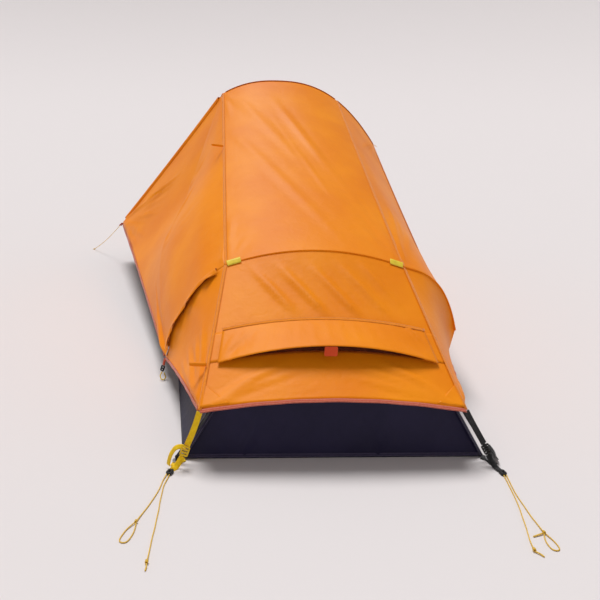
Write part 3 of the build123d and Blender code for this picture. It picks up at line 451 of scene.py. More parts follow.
bare_metal = moulded("bare_metal", (0.55, 0.55, 0.57), 0.3, 0.95)
black_plastic = moulded("black_plastic", (0.012, 0.012, 0.013), 0.4)
yellow_plastic = moulded("yellow_plastic", (0.85, 0.56, 0.01), 0.42)
tab_red = coated_cloth("tab_red", (0.62, 0.07, 0.02), (0.75, 0.11, 0.03), 0.6, 0.2)


def dress(piece, material, body, slot, *replaced):
    """Material, body and the CAD nodes a new piece stands for; the slot argument is not used."""
    piece.data.materials.append(material)
    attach(piece, body)
    if replaced:
        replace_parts(piece, *replaced)
    return piece


def repaint(node, material):
    """A finished material on a CAD node that stays."""
    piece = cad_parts[node]
    for slot in piece.material_slots:
        slot.material = material


# ---------------------------------------------------------------- fly

ACROSS, LONG, HIGH, SIDE = 72, 96, 50, 40
VENT_LOW, VENT_HIGH = 15, 23
CALM_MIDDLE, CALM_REACH, CALM_BLEND = 0.38, 0.13, 0.09


def build_roof():
    """Roof panel: smooth, with soft folds that run down to the brow's right end."""
    grid = hollow(coons(brow, peak_line, ridge_left, ridge_right, ACROSS, LONG), 0.010)
    height = fold(grid, (-0.20, 0.45, 0.86), (0.20, -0.55, 0.42), 0.030, 0.0035)
    height += fold(grid, (-0.05, 0.40, 0.88), (0.23, -0.50, 0.42), 0.024, 0.0030)
    height += fold(grid, (-0.22, 0.15, 0.72), (0.10, -0.62, 0.43), 0.028, 0.0028)
    for x, end in ((-0.12, 0.10), (-0.02, 0.17), (0.07, 0.21), (0.14, 0.24)):
        height += fold(grid, (x, 0.48, peak_z(x)), (end, -0.35, 0.55), 0.013, 0.0022)
    height += fans(grid, (brow_right, (-0.2, -0.2, 0.6), (0.22, 0.0, 0.62), 5, 0.42, 0.016, 0.0024),
                   (brow_left, (-0.24, 0.0, 0.64), (0.2, -0.3, 0.55), 4, 0.30, 0.014, 0.0020),
                   (left_peak, (-0.23, 0.0, 0.65), (0.1, 0.0, 0.7), 3, 0.30, 0.016, 0.0020))
    return raised(grid, height, 0.04)


def build_foot():
    """Foot wall from hem to brow, with folds that slant down to the right."""
    grid = hollow(coons(foot_hem, brow, corner_left, corner_right, ACROSS, HIGH), 0.010)
    height = np.zeros(grid.shape[:2])
    for x, length in ((-0.20, 0.20), (-0.12, 0.26), (-0.03, 0.30), (0.06, 0.28), (0.13, 0.20)):
        a = (x, -0.69, 0.405)
        b = (x + 0.62 * length, -0.69 - 0.85 * length, 0.405 - 0.50 * length)
        height += fold(grid, a, b, 0.017, 0.0042)
    height += fans(grid, (hem_left, (-0.1, -0.95, 0.25), (0.1, -1.09, 0.16), 5, 0.26, 0.014, 0.0030),
                   (hem_right, (-0.1, -1.09, 0.16), (0.1, -0.95, 0.25), 5, 0.26, 0.014, 0.0030))
    rows = np.linspace(0, 1, HIGH + 1)
    beyond_hood = np.clip((np.abs(rows - CALM_MIDDLE) - CALM_REACH) / CALM_BLEND, 0, 1)
    return raised(grid, height * beyond_hood[:, None], 0.03)


def build_right_side():
    """Long right panel between the ridge seam and the crease."""
    grid = hollow(coons(crease_right, ridge_right, lambda t: arch_right(1 - t), shoulder, LONG, SIDE), 0.016)
    height = fans(grid, (right_kink, (0.40, -0.2, 0.45), (0.47, 0.1, 0.42), 4, 0.40, 0.018, 0.0028),
                  (brow_right, (0.42, -0.3, 0.42), (0.30, 0.0, 0.60), 4, 0.34, 0.016, 0.0026),
                  (right_tab, (0.3, 0.2, 0.68), (0.45, 0.1, 0.5), 4, 0.26, 0.014, 0.0022))
    return raised(grid, height, 0.05)


def build_right_skirt():
    """Lower right panel from the crease to the side hem."""
    return hollow(coons(taut(right_foot_hem, right_side_hem, -0.012), crease_right,
                        taut(right_foot_hem, right_kink), taut(right_side_hem, right_tab, 0.006),
                        LONG, HIGH), 0.014)


def build_right_gore():
    """Gore at the right foot corner, under the arch."""
    grid = hollow(coons(taut(hem_right, right_foot_hem, -0.010), arch_right, corner_right,
                        taut(right_foot_hem, right_kink), SIDE, HIGH), 0.012)
    height = fan_of_folds(grid, hem_right, (0.30, -0.8, 0.33), (0.44, -0.66, 0.15), 5, 0.30, 0.015, 0.0034)
    return raised(grid, height, 0.05)


def build_left_gore():
    """Gore at the left foot corner, beside the door."""
    grid = hollow(coons(taut(hem_left, door_foot, -0.010), lambda t: arch_left(1 - t), corner_left,
                        still(door_foot), SIDE, HIGH), 0.010)
    height = fan_of_folds(grid, hem_left, (-0.30, -0.8, 0.33), (-0.42, -0.66, 0.12), 5, 0.30, 0.014, 0.0030)
    return raised(grid, height, 0.05)


def build_head():
    """Head wall between the two hips."""
    grid = hollow(coons(taut(head_left, head_right, -0.010), peak_line, hips[-1], hips[1], ACROSS, HIGH), 0.006)
    height = fans(grid, (head_left, (-0.3, 0.9, 0.45), (0.1, 1.08, 0.2), 4, 0.40, 0.02, 0.003),
                  (head_right, (-0.1, 1.08, 0.2), (0.3, 0.9, 0.45), 4, 0.40, 0.02, 0.003))
    return raised(grid, height, 0.05)


def build_right_rear():
    """Right rear panel from the side hem round to the hip."""
    return hollow(coons(taut(right_side_hem, head_right, -0.010), shoulder,
                        taut(right_side_hem, right_tab, 0.006), hips[1], SIDE, HIGH), 0.006)


def build_left_rear():
    """Left rear panel behind the vestibule's far zip."""
    grid = coons(taut(stake_point, head_left, -0.010), still(left_peak),
                 taut(stake_point, left_peak, 0.006), hips[-1], SIDE, HIGH)
    height = fan_of_folds(grid, stake_point, (-0.45, 0.75, 0.5), (-0.5, 1.05, 0.17), 5, 0.36, 0.018, 0.003)
    return raised(hollow(grid, 0.006), height, 0.05)


FOLD_HIGH, FOLD_LOW = (-0.388, 0.250, 0.457), (-0.480, -0.120, 0.300)
door_crease = through(door_foot, (-0.474, -0.360, 0.190), FOLD_LOW, FOLD_HIGH, (-0.312, 0.400, 0.672), left_peak)


def build_door():
    """Vestibule door: creased from the shoulder down to its foot, with folds from its tension points."""
    upper = coons(door_crease, ridge_left, arch_left, still(left_peak), 130, 40)
    lower = coons(taut(door_foot, stake_point, -0.012), door_crease, still(door_foot),
                  taut(stake_point, left_peak, 0.006), 130, 40)
    high = fans(upper, (brow_left, (-0.26, 0.0, 0.60), (-0.45, -0.20, 0.30), 7, 0.40, 0.011, 0.0040),
                (FOLD_LOW, (-0.27, -0.30, 0.50), (-0.30, 0.25, 0.62), 6, 0.30, 0.014, 0.0048),
                (FOLD_HIGH, (-0.26, 0.05, 0.66), (-0.25, 0.40, 0.76), 5, 0.20, 0.012, 0.0042))
    low = fans(lower, (stake_point, (-0.34, 0.36, 0.60), (-0.55, 0.0, 0.17), 15, 0.50, 0.0095, 0.0056),
               (door_foot, (-0.49, -0.1, 0.27), (-0.52, -0.2, 0.13), 4, 0.34, 0.012, 0.0036))
    return [raised(upper, high, 0.03), raised(lower, low, 0.03)]


foot = build_foot()
canopy = sewn("fly_canopy", [foot[VENT_HIGH:], foot[:VENT_LOW + 1], build_roof(), build_right_side(),
                             build_right_skirt(), build_right_gore(), build_left_gore(), build_head(),
                             build_right_rear(), build_left_rear()])
thicken(canopy, CLOTH, 1)
dress(canopy, fly_cloth, "tent", "fly_cloth", "fly_roof", "fly_right_side", "fly_right_skirt", "fly_foot_gores",
      "fly_head_wall", "fly_right_rear", "fly_left_rear", "fly_foot_wall", "fly_foot_skirt")
# the inner faces take the darker orange: painted shade
canopy.data.materials.append(fly_inside_painted_shade)

opening = slice(VENT_LOW, VENT_HIGH + 1)
# the vent netting is coloured as the shadow under the hood: painted shade
vent_mesh = thicken(sewn("vent_mesh", [foot[opening] - normals_of(foot)[opening] * 0.001]), 0.0004)
dress(vent_mesh, vent_net_painted_shade, "tent", "vent_mesh", "foot_vent_mesh")
for name, columns in (("left", slice(0, 8)), ("right", slice(ACROSS - 7, ACROSS + 1))):
    band = foot[VENT_LOW - 1:VENT_HIGH + 2, columns]
    facing = thicken(sewn("vent_facing_" + name, [band + normals_of(band) * 0.0009]), 0.0006)
    dress(facing, fly_cloth, "tent", "fly_cloth")

door = sewn("vestibule_door_cloth", build_door())
thicken(door, CLOTH, 1)
dress(door, fly_cloth, "vestibule_door", "fly_cloth", "vestibule_door")
# the door's inner face takes the darker orange: painted shade
door.data.materials.append(fly_inside_painted_shade)

# Vent hood: stands off over the mesh in its middle; its underside is painted deep red as the shade beneath it
VENT_TOP, VENT_BOTTOM = 0.46, 0.30
HOOD_TOP, HOOD_LOWER, HOOD_START, HOOD_STANDOFF, HOOD_SIDE = 0.49, 0.26, 0.0016, 0.034, 0.92
WALL_SLOPE = 0.514
wall_out = np.array([0.0, -math.sin(WALL_SLOPE), math.cos(WALL_SLOPE)])


def wall_point(t, share):
    """A point on the foot wall's plain surface."""
    return mix(foot_hem(t), brow(t), share)


def hood_edge(t):
    """The hood's free lower edge, which stands off the wall."""
    side = HOOD_SIDE * (2 * t - 1)
    return wall_point(0.5 + 0.5 * side, HOOD_LOWER) + wall_out * (HOOD_START + HOOD_STANDOFF * (1 - side * side))


def hood_top(t):
    """The seam where the hood joins the wall."""
    return wall_point(0.5 + 0.5 * HOOD_SIDE * (2 * t - 1), HOOD_TOP) + wall_out * 0.0012


hood_grid = coons(hood_edge, hood_top, taut(hood_edge(0), hood_top(0)), taut(hood_edge(1), hood_top(1)), 72, 16)
hood_height = np.zeros(hood_grid.shape[:2])
for t in np.linspace(0.08, 0.92, 13):
    lean = 0.5 - t
    hood_height += fold(hood_grid, hood_edge(t), hood_top(min(max(t + 0.10 * lean, 0), 1)), 0.008, 0.0004)
hood_height += fan_of_folds(hood_grid, hood_edge(0), hood_top(0.05), hood_top(0.42), 5, 0.15, 0.007, 0.0034)
hood_height += fan_of_folds(hood_grid, hood_edge(1), hood_top(0.58), hood_top(0.95), 5, 0.15, 0.007, 0.0034)
hood = thicken(sewn("vent_hood", [raised(hood_grid, hood_height, 0.06)]), CLOTH, 1)
dress(hood, fly_cloth, "tent", "fly_cloth", "foot_vent_hood")
# the hood's underside is painted deep red: painted shade
hood.data.materials.append(flap_underside_painted_shade)

# ---------------------------------------------------------------- seams and bindings


def seam(name, curve, towards, count, body="tent", width=0.011, material=seam_tape, slot="fly_cloth", lift=0.0006):
    """A stitched seam tape laid on the cloth along a curve."""
    points = sampled(curve, count)
    n, tangent = seam_normals(points, towards)
    tape = ribbon(name, points + n * lift, np.cross(tangent, n), width, 0.0007)
    return dress(tape, material, body, slot)


seams = [
    seam("seam_corner_left", corner_left, (-0.5, -0.6, 0.6), 60),
    seam("seam_corner_right", corner_right, (0.5, -0.6, 0.6), 60),
    seam("seam_ridge_left", ridge_left, (-0.5, -0.2, 0.8), 120, width=0.010),
    seam("seam_ridge_right", ridge_right, (0.4, -0.2, 0.9), 120),
    seam("seam_crease_right", crease_right, (0.9, -0.1, 0.25), 120),
    seam("seam_peak", lambda t: peak_line(0.02 + 0.96 * t), (0.0, 0.25, 1.0), 60),
    seam("seam_shoulder", shoulder, (0.6, 0.25, 0.8), 40),
    seam("seam_hip_left", hips[-1], (-0.5, 0.7, 0.6), 60),
    seam("seam_hip_right", hips[1], (0.5, 0.7, 0.6), 60),
    seam("seam_hood", lambda t: hood_top(t) + wall_out * 0.0008, (0.0, -0.5, 0.87), 70, width=0.009),
]


def lip(name, curve, out, count):
    """The rolled lip of the brow: a thin soft tube along its arch."""
    points = sampled(curve, count)
    rows, ring = [], 10
    n, tangent = seam_normals(points, out)
    b = np.cross(tangent, n)
    for k in range(ring + 1):
        angle = 2 * math.pi * k / ring
        rows.append(points + n * (0.0030 * math.cos(angle) + 0.0008) + b * 0.0026 * math.sin(angle))
    return sewn(name, [np.array(rows)])


arch_all = through(*([tuple(p) for p in sampled(brow, 9)]
                     + [tuple(p) for p in sampled(arch_right, 7)][1:]))
brow_lip = dress(lip("brow_lip", arch_all, (0.0, -0.8, 0.6), 160), fly_cloth, "tent", "fly_cloth")


def binding(name, curve, up, body, count=80, width=0.010, replaced=()):
    """Folded hem tape, just over the cloth's edge."""
    points = sampled(curve, count)
    upward, tangent = seam_normals(points, up)
    wave = 0.0006 * np.sin(np.linspace(0, 40, count))[:, None] * np.cross(tangent, upward)
    tape = ribbon(name, points - upward * 0.35 * width + wave, upward, width, 0.0022)
    return dress(tape, red_tape, body, "binding_tape", *replaced)


bindings = [
    binding("binding_foot", foot_hem, (0.0, 0.87, 0.5), "tent", 120, replaced=("hem_binding",)),
    binding("binding_left_gore", taut(mix(hem_left, door_foot, 0.04), door_foot, -0.010), (0.2, 0.0, 1.0), "tent"),
    binding("binding_right_gore", taut(mix(hem_right, right_foot_hem, 0.04), right_foot_hem, -0.010),
            (-0.2, 0, 1), "tent"),
    binding("binding_right", taut(right_foot_hem, right_side_hem, -0.012), (-0.1, 0.0, 1.0), "tent"),
]
door_hem = taut(mix(door_foot, stake_point, 0.012), mix(door_foot, stake_point, 0.985), -0.012)
door_binding = binding("binding_door", door_hem, (0.4, 0.0, 0.9), "vestibule_door", replaced=("door_hem_binding",))

# Storm flaps along the two zips: rooted on the door, with a wavy free edge; their undersides carry painted shade,
# deep red on the near flap and darker orange on the far flap
FLAP_ROOT, FLAP_ROOT_LIFT, FLAP_CREST, FLAP_OVER, FLAP_RISE = 0.012, 0.0012, 0.010, 0.024, 0.013
ARCH_OVER = 0.020


def beside(points, side_point):
    """Unit vectors along the cloth towards a side point, and its outward normals."""
    _, tangent = seam_normals(points, (0, 0, 1))
    way = np.asarray(side_point, float) - points
    way -= tangent * np.sum(way * tangent, axis=1, keepdims=True)
    way /= np.linalg.norm(way, axis=1, keepdims=True)
    out = np.cross(tangent, way)
    facing = np.sum(out * (points - MIDDLE), axis=1, keepdims=True)
    return way, np.where(facing > 0, out, -out)


def flap_sheet(name, curve, door_side, fixed_side, count, wave, span, over, droop=0.003):
    """A flap rooted on the door, over the seam, whose free edge waves unevenly over the fixed panel."""
    points = sampled(lambda t: curve(span[0] + (span[1] - span[0]) * t), count)
    to_door, door_out = beside(points, door_side)
    to_fixed, fixed_out = beside(points, fixed_side)
    run = np.linspace(0, wave * 2 * math.pi, count)
    ripple = (np.sin(run) + 0.5 * np.sin(1.9 * run + 0.8))[:, None]
    ends = np.clip(np.minimum(np.linspace(0, 10, count), np.linspace(10, 0, count)), 0, 1)[:, None]
    root = points + to_door * FLAP_ROOT + door_out * FLAP_ROOT_LIFT
    crest = points + (door_out + fixed_out) * 0.5 * FLAP_CREST
    edge = (points + to_fixed * (over + 0.0040 * ripple * ends)
            + fixed_out * (FLAP_RISE - droop - 0.006 * (1 - ends) + 0.0035 * ripple * ends))
    rows = []
    for share in np.linspace(0, 1, 11):
        low, mid, high = (1 - share) * (1 - 2 * share), 4 * share * (1 - share), share * (2 * share - 1)
        rows.append(low * root + mid * crest + high * edge)
    return thicken(sewn(name, [np.array(rows)]), CLOTH, 1)


near_flap = flap_sheet("near_storm_flap_cloth", arch_left, FOLD_LOW, hem_left, 90, 3.6, (0.09, 0.92), ARCH_OVER)
dress(near_flap, fly_cloth, "vestibule_door", "fly_cloth", "near_storm_flap")
# the near flap's underside is painted deep red: painted shade
near_flap.data.materials.append(flap_underside_painted_shade)
far_flap = flap_sheet("far_storm_flap_cloth", taut(stake_point, left_peak, 0.006), FOLD_HIGH, hip_left, 110, 4.0,
                      (0.045, 0.966), FLAP_OVER)
dress(far_flap, fly_cloth, "vestibule_door", "fly_cloth", "far_storm_flap")
# the far flap's underside takes the darker orange: painted shade
far_flap.data.materials.append(fly_inside_painted_shade)

# ---------------------------------------------------------------- floor and inner tent

tub_foot = {-1: (-0.3005, -1.058, 0.136), 1: (0.3005, -1.058, 0.136)}
tub_head = {-1: (-0.436, 1.031, 0.136), 1: (0.436, 1.031, 0.136)}
floor_foot = {-1: (-0.3825, FOOT_Y, 0.001), 1: (0.3825, FOOT_Y, 0.001)}
floor_head = {-1: (-0.480, HEAD_Y, 0.001), 1: (0.480, HEAD_Y, 0.001)}


RIM_SAG = (-0.020, 0.006, 0.006, 0.006)


def tub_walls():
    """Floor and four walls of the bathtub, with soft dents."""
    ring_low = [floor_foot[-1], floor_foot[1], floor_head[1], floor_head[-1]]
    ring_high = [tub_foot[-1], tub_foot[1], tub_head[1], tub_head[-1]]
    counts = [60, 120, 60, 120]
    grids = []
    for i in range(4):
        j = (i + 1) % 4
        wall = coons(taut(ring_low[i], ring_low[j]), taut(ring_high[i], ring_high[j], RIM_SAG[i]),
                     taut(ring_low[i], ring_high[i]), taut(ring_low[j], ring_high[j]), counts[i], 20)
        dents = np.zeros(wall.shape[:2])
        for _ in range(7):
            t = 0.1 + 0.8 * rng.random()
            low = mix(ring_low[i], ring_low[j], t)
            high = mix(ring_high[i], ring_high[j], min(max(t + 0.12 * (rng.random() - 0.5), 0), 1))
            dents += fold(wall, low, high, 0.014, 0.006 * (rng.random() - 0.4))
        grids.append(raised(wall, dents, 0.08))
    grids.append(coons(taut(floor_foot[-1], floor_foot[1]), taut(floor_head[-1], floor_head[1]),
                       taut(floor_foot[-1], floor_head[-1]), taut(floor_foot[1], floor_head[1]), 60, 120))
    return grids


tub = thicken(sewn("bathtub", tub_walls()), 0.0009)
tub.modifiers["thickness"].offset = 0
dress(tub, tub_cloth, "tent", "floor_cloth", "bathtub_floor")
for side in (-1, 1):
    name = "left" if side < 0 else "right"
    seams.append(seam("tub_seam_foot_" + name, taut(floor_foot[side], tub_foot[side]), (side * 0.7, -0.7, 0.1), 24,
                      material=tub_seam, slot="floor_cloth", lift=0.001))
    seams.append(seam("tub_seam_head_" + name, taut(floor_head[side], tub_head[side]), (side * 0.7, 0.7, 0.1), 24,
                      material=tub_seam, slot="floor_cloth", lift=0.001))
front_low = taut(mix(floor_foot[-1], tub_foot[-1], 0.05), mix(floor_foot[1], tub_foot[1], 0.05))
seams.append(seam("tub_seam_front", front_low, (0, -1, 0.1), 60, material=tub_seam, slot="floor_cloth",
                  lift=0.001, width=0.009))

inner_brow = {-1: (-0.238, -0.640, 0.345), 1: (0.238, -0.640, 0.345)}
inner_peak = {-1: (-0.188, PEAK_Y, left_peak[2] - 0.045), 1: (0.236, PEAK_Y, right_peak[2] - 0.044)}
inner_brow_line = through(inner_brow[-1], (0.0, -0.640, 0.393), inner_brow[1])
inner_peak_line = through(inner_peak[-1], (0.0, PEAK_Y, 0.868), inner_peak[1])
inner_ridges = {s: taut(inner_brow[s], inner_peak[s], 0.004) for s in (-1, 1)}
sill = taut(tub_foot[-1], tub_head[-1])
DOOR_SPAN, LINTEL_SPAN = (0.29, 0.78), (0.22, 0.93)


def inner_left(t0, t1, s0, s1, start, end, count):
    """Part of the inner tent's left wall, between shares of the sill and of the ridge."""
    return coons(lambda t: sill(t0 + (t1 - t0) * t), lambda t: inner_ridges[-1](s0 + (s1 - s0) * t), start, end,
                 count, 24)


door_near = taut(sill(DOOR_SPAN[0]), inner_ridges[-1](LINTEL_SPAN[0]), 0.0)
door_far = taut(sill(DOOR_SPAN[1]), inner_ridges[-1](LINTEL_SPAN[1]), 0.0)
inner = sewn("inner_tent", [
    hollow(coons(inner_brow_line, inner_peak_line, inner_ridges[-1], inner_ridges[1], 40, 60), 0.010),
    hollow(coons(taut(tub_foot[-1], tub_foot[1], -0.020), inner_brow_line, taut(tub_foot[-1], inner_brow[-1]),
                 taut(tub_foot[1], inner_brow[1]), 40, 24), 0.010),
    hollow(coons(taut(tub_head[-1], tub_head[1], 0.006), inner_peak_line, taut(tub_head[-1], inner_peak[-1]),
                 taut(tub_head[1], inner_peak[1]), 40, 24), 0.010),
    hollow(coons(taut(tub_foot[1], tub_head[1], 0.006), inner_ridges[1], taut(tub_foot[1], inner_brow[1]),
                 taut(tub_head[1], inner_peak[1]), 60, 24), 0.010),
    inner_left(0, DOOR_SPAN[0], 0, LINTEL_SPAN[0], taut(tub_foot[-1], inner_brow[-1]), door_near, 20),
    inner_left(DOOR_SPAN[1], 1, LINTEL_SPAN[1], 1, door_far, taut(tub_head[-1], inner_peak[-1]), 20),
])
thicken(inner, 0.0005)
dress(inner, inner_cloth, "tent", "inner_cloth", "inner_roof", "inner_end_walls", "inner_right_wall",
      "inner_left_wall")
door_panel = hollow(inner_left(*DOOR_SPAN, *LINTEL_SPAN, door_near, door_far, 50), 0.006)
inner_door = thicken(sewn("inner_door_cloth", [door_panel]), 0.0005)
dress(inner_door, inner_cloth, "inner_door", "inner_cloth", "inner_door")

# ---------------------------------------------------------------- straps, tabs and toggles


def strap(name, points, face, width, material, slot, replaced=(), body="tent", thickness=0.0012, count=50):
    """Webbing along a smooth path, its face turned the given way."""
    pts = sampled(through(*points), count)
    n, tangent = seam_normals(pts, face)
    return dress(ribbon(name, pts, np.cross(tangent, n), width, thickness), material, body, slot, *replaced)


strap("left_corner_strap", [(-0.3425, -1.0967, 0.139), (-0.351, -1.101, 0.110), (-0.361, -1.105, 0.082),
                            (-0.3722, -1.1088, 0.0555)], (-0.2, -1, 0.1), 0.015, yellow_web,
      "yellow_webbing", ("left_foot_strap",))
strap("left_corner_webbing", [(-0.382, -1.1123, 0.028), (-0.391, -1.116, 0.014), (-0.399, -1.121, 0.0045),
                              (-0.4075, -1.1315, 0.0022)], (-0.2, -0.9, 0.4), 0.015, yellow_web,
      "yellow_webbing", ("left_foot_webbing",))
strap("left_strap_tail", [(-0.377, -1.1145, 0.050), (-0.384, -1.120, 0.059), (-0.396, -1.121, 0.058),
                          (-0.408, -1.119, 0.043), (-0.415, -1.118, 0.022), (-0.417, -1.117, 0.008)],
      (-0.6, -0.6, 0.5), 0.012, yellow_web, "yellow_webbing")
strap("right_corner_strap", [(0.3185, -1.0967, 0.139), (0.335, -1.101, 0.110), (0.352, -1.105, 0.082),
                             (0.3683, -1.1088, 0.0555)], (0.2, -1, 0.1), 0.015, black_web,
      "black_webbing", ("right_foot_strap",))
strap("right_corner_webbing", [(0.381, -1.1123, 0.028), (0.388, -1.118, 0.014), (0.394, -1.126, 0.0045),
                               (0.3998, -1.146, 0.0022)], (0.2, -0.9, 0.4), 0.015, black_web,
      "black_webbing", ("right_foot_webbing",))
strap("right_strap_tail", [(0.379, -1.1135, 0.052), (0.392, -1.119, 0.036), (0.404, -1.112, 0.020),
                           (0.412, -1.090, 0.008), (0.413, -1.058, 0.003), (0.409, -1.030, 0.003)],
      (0.3, -0.5, 0.8), 0.013, black_web, "black_webbing")


def corner_mat(name, points, material, slot):
    """A flat piece of webbing on the ground under a grommet."""
    return strap(name, points, (0, 0, 1), 0.022, material, slot, count=12)


corner_mat("left_grommet_tab", [(-0.381, -1.078, 0.0016), (-0.394, -1.091, 0.0016), (-0.402, -1.112, 0.0016)],
           yellow_web, "yellow_webbing")
corner_mat("right_grommet_tab", [(0.381, -1.078, 0.0016), (0.394, -1.091, 0.0016), (0.398, -1.114, 0.0016)],
           black_web, "black_webbing")


def head_web(side):
    """Strap and ground tab of one head corner."""
    name = "left" if side < 0 else "right"
    mat = corner_mat("head_tab_" + name, [(side * 0.480, 1.083, 0.0016), (side * 0.487, 1.093, 0.0016),
                                          (side * 0.494, 1.110, 0.0016)], black_web, "black_webbing")
    strap("head_strap_" + name, [(side * 0.466, 1.1015, 0.138), (side * 0.476, 1.103, 0.090),
                                 (side * 0.486, 1.105, 0.040), (side * 0.492, 1.106, 0.003)],
          (0, 1, 0.1), 0.015, black_web, "black_webbing")
    return mat


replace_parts(head_web(-1), "head_corner_webbing")
head_web(1)

pull = np.array([-0.525, 0.636, -0.566])
stake = np.array(stake_point)
strap("stake_out_webbing", [tuple(stake + pull * 0.0012), tuple(stake + pull * 0.016 + [0, 0, -0.001]),
                            tuple(stake + pull * 0.032)], (0.2, 0.2, 1), 0.014, red_web, "red_webbing",
      ("vestibule_webbing",))
strap("door_foot_webbing", [(-0.4465, -0.5835, 0.065), (-0.450, -0.586, 0.054), (-0.4525, -0.588, 0.0435)],
      (-1, -1, 0), 0.010, red_web, "red_webbing")
strap("door_foot_loop", [(-0.456, -0.592, 0.024), (-0.462, -0.600, 0.012), (-0.455, -0.610, 0.004),
                         (-0.446, -0.602, 0.006), (-0.450, -0.592, 0.020)], (-1, -1, 0.2), 0.0025,
      yellow_web, "yellow_webbing", thickness=0.002)


def brow_tab(name, a, b):
    """A reflective tab folded over one end of the brow."""
    along = (np.array(b) - np.array(a)) / np.linalg.norm(np.array(b) - np.array(a))
    start = np.array(a) + along * 0.004
    points = [tuple(start + along * s + np.array([0, -0.0035, 0.0045])) for s in (0.0, 0.014, 0.028, 0.042)]
    return strap(name, points, (0, -0.65, 0.76), 0.019, reflective, "tab_cloth", count=20)


left_tab = brow_tab("brow_tab_left", brow_left, tuple(brow(0.12)))
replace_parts(left_tab, "guy_tabs")
brow_tab("brow_tab_right", brow_right, tuple(brow(0.88)))
strap("shoulder_tab", [(0.4465, PEAK_Y, 0.650), (0.456, PEAK_Y, 0.645), (0.464, PEAK_Y, 0.640)],
      (0.2, 0, 1), 0.015, yellow_web, "tab_cloth", count=10)


def toggle(name, root, tip, radius=0.0045, replaced=()):
    """A rolled cloth toggle: a spiral roll with soft ends."""
    root, tip = np.array(root), np.array(tip)
    axis = (tip - root) / np.linalg.norm(tip - root)
    side = np.cross(axis, [0, 0, 1.0])
    side /= np.linalg.norm(side)
    up = np.cross(side, axis)
    rows = []
    for k in range(25):
        angle = 2 * math.pi * k / 12
        r = radius * (1 - 0.10 * k / 24)
        ring = [root + axis * np.linalg.norm(tip - root) * s
                + (side * math.cos(angle) + up * math.sin(angle)) * r * (1 - 0.35 * abs(2 * s - 1) ** 8)
                for s in np.linspace(0, 1, 16)]
        rows.append(ring)
    return dress(thicken(sewn(name, [np.array(rows)]), 0.0005), fly_cloth, "tent", "fly_cloth", *replaced)


corner_root, ridge_root = corner_left(0.27) + [-0.004, -0.004, 0.004], ridge_left(0.597) + [-0.004, -0.002, 0.006]
toggle("corner_toggle", corner_root, corner_root + [-0.043, -0.004, 0.003], 0.0055, ("door_toggles",))
toggle("ridge_toggle", ridge_root, ridge_root + [-0.044, -0.010, 0.006], 0.0048)


def patch(name, corner, along_hem, along_seam, out):
    """A triangular reinforcement sewn into a hem corner."""
    c, h, s = np.array(corner), np.array(along_hem), np.array(along_seam)
    grid = np.array([[c + (h - c) * (1 - v) * u + (s - c) * v for u in np.linspace(0, 1, 9)]
                     for v in np.linspace(0, 0.98, 9)])
    return dress(thicken(sewn(name, [grid + np.array(out) * 0.0016]), 0.0006), fly_cloth, "tent", "fly_cloth")


for side, a, b, name in ((-1, 0.0, 0.11, "left"), (1, 1.0, 0.89, "right")):
    corner_seam = corner_left if side < 0 else corner_right
    patch("patch_" + name, foot_hem(a) + [0, 0.004, 0.004], foot_hem(b) + [0, 0.004, 0.004], corner_seam(0.15),
          (0, -0.5, 0.87))

# ---------------------------------------------------------------- guy cords

CORD_D = 0.0025
CORD_Z = 0.00135


def cord(node, points):
    """A braided cord on the same points as its CAD node."""
    curve = bpy.data.curves.new(node + "_line", "CURVE")
    curve.dimensions = "3D"
    spline = curve.splines.new("NURBS")
    spline.points.add(len(points) - 1)
    for point, place in zip(spline.points, points):
        point.co = (*place, 1)
    spline.order_u = 3
    spline.use_endpoint_u = True
    curve.resolution_u = 8
    curve.bevel_depth = 0.5 * CORD_D
    curve.bevel_resolution = 4
    curve.use_fill_caps = True
    piece = bpy.data.objects.new(node + "_line", curve)
    bpy.context.collection.objects.link(piece)
    dress(piece, guy_cord, "tent", "guy_cord", node)


def laid(first, middle, last):
    """A cord's route: its two raised ends, and the points between, which lie on the ground."""
    return [first] + [(x, y, CORD_Z) for x, y in middle] + [last]


def knot(name, centre, axis, radius=0.0036, turns=3):
    """A tight wound knot: a cord wrapped round itself."""
    axis = Vector(axis).normalized()
    side = axis.cross(Vector((0, 0, 1))).normalized()
    up = side.cross(axis)
    curve = bpy.data.curves.new(name, "CURVE")
    curve.dimensions = "3D"
    count = 12 * turns + 1
    spline = curve.splines.new("NURBS")
    spline.points.add(count - 1)
    for i, point in enumerate(spline.points):
        angle = 2 * math.pi * i / 12
        r = (radius - 0.5 * CORD_D) * (1 + 0.12 * math.sin(2.3 * angle))
        place = (Vector(centre) + axis * (i / (count - 1) - 0.5) * 0.0062
                 + side * r * math.cos(angle) + up * r * math.sin(angle))
        point.co = (*place, 1)
    spline.order_u = 4
    spline.use_endpoint_u = True
    curve.bevel_depth = 0.45 * CORD_D
    curve.bevel_resolution = 3
    curve.use_fill_caps = True
    piece = bpy.data.objects.new(name, curve)
    bpy.context.collection.objects.link(piece)
    return dress(piece, guy_cord, "tent", "guy_cord")


KNOT_Z = 0.0041
knot_a_left = knot("knot_left_loop", (-0.477, -1.334, KNOT_Z), (-0.33, -0.94, 0))
knot_b_left = knot("knot_left_end", (-0.4455, -1.463, KNOT_Z), (-0.1, -1, 0), turns=5)
knot_a_right = knot("knot_right_loop", (0.391, -1.391, KNOT_Z), (0, -1, 0))
knot_b_right = knot("knot_right_end", (0.343, -1.446, KNOT_Z), (-0.1, -1, 0), turns=5)
knot_stake = knot("knot_vestibule", (-0.902, 1.102, KNOT_Z), (-0.6, 0.7, 0))
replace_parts(knot_stake, "guy_knots")


def tail(name, start, end):
    """The short cut end of a cord beyond its knot."""
    middle = tuple(mix(start, end, 0.5) + [0.001, 0.0, 0.0004])
    return strap(name, [start, middle, end], (0, 0, 1), 0.0024, guy_cord, "guy_cord", thickness=0.0022, count=10)


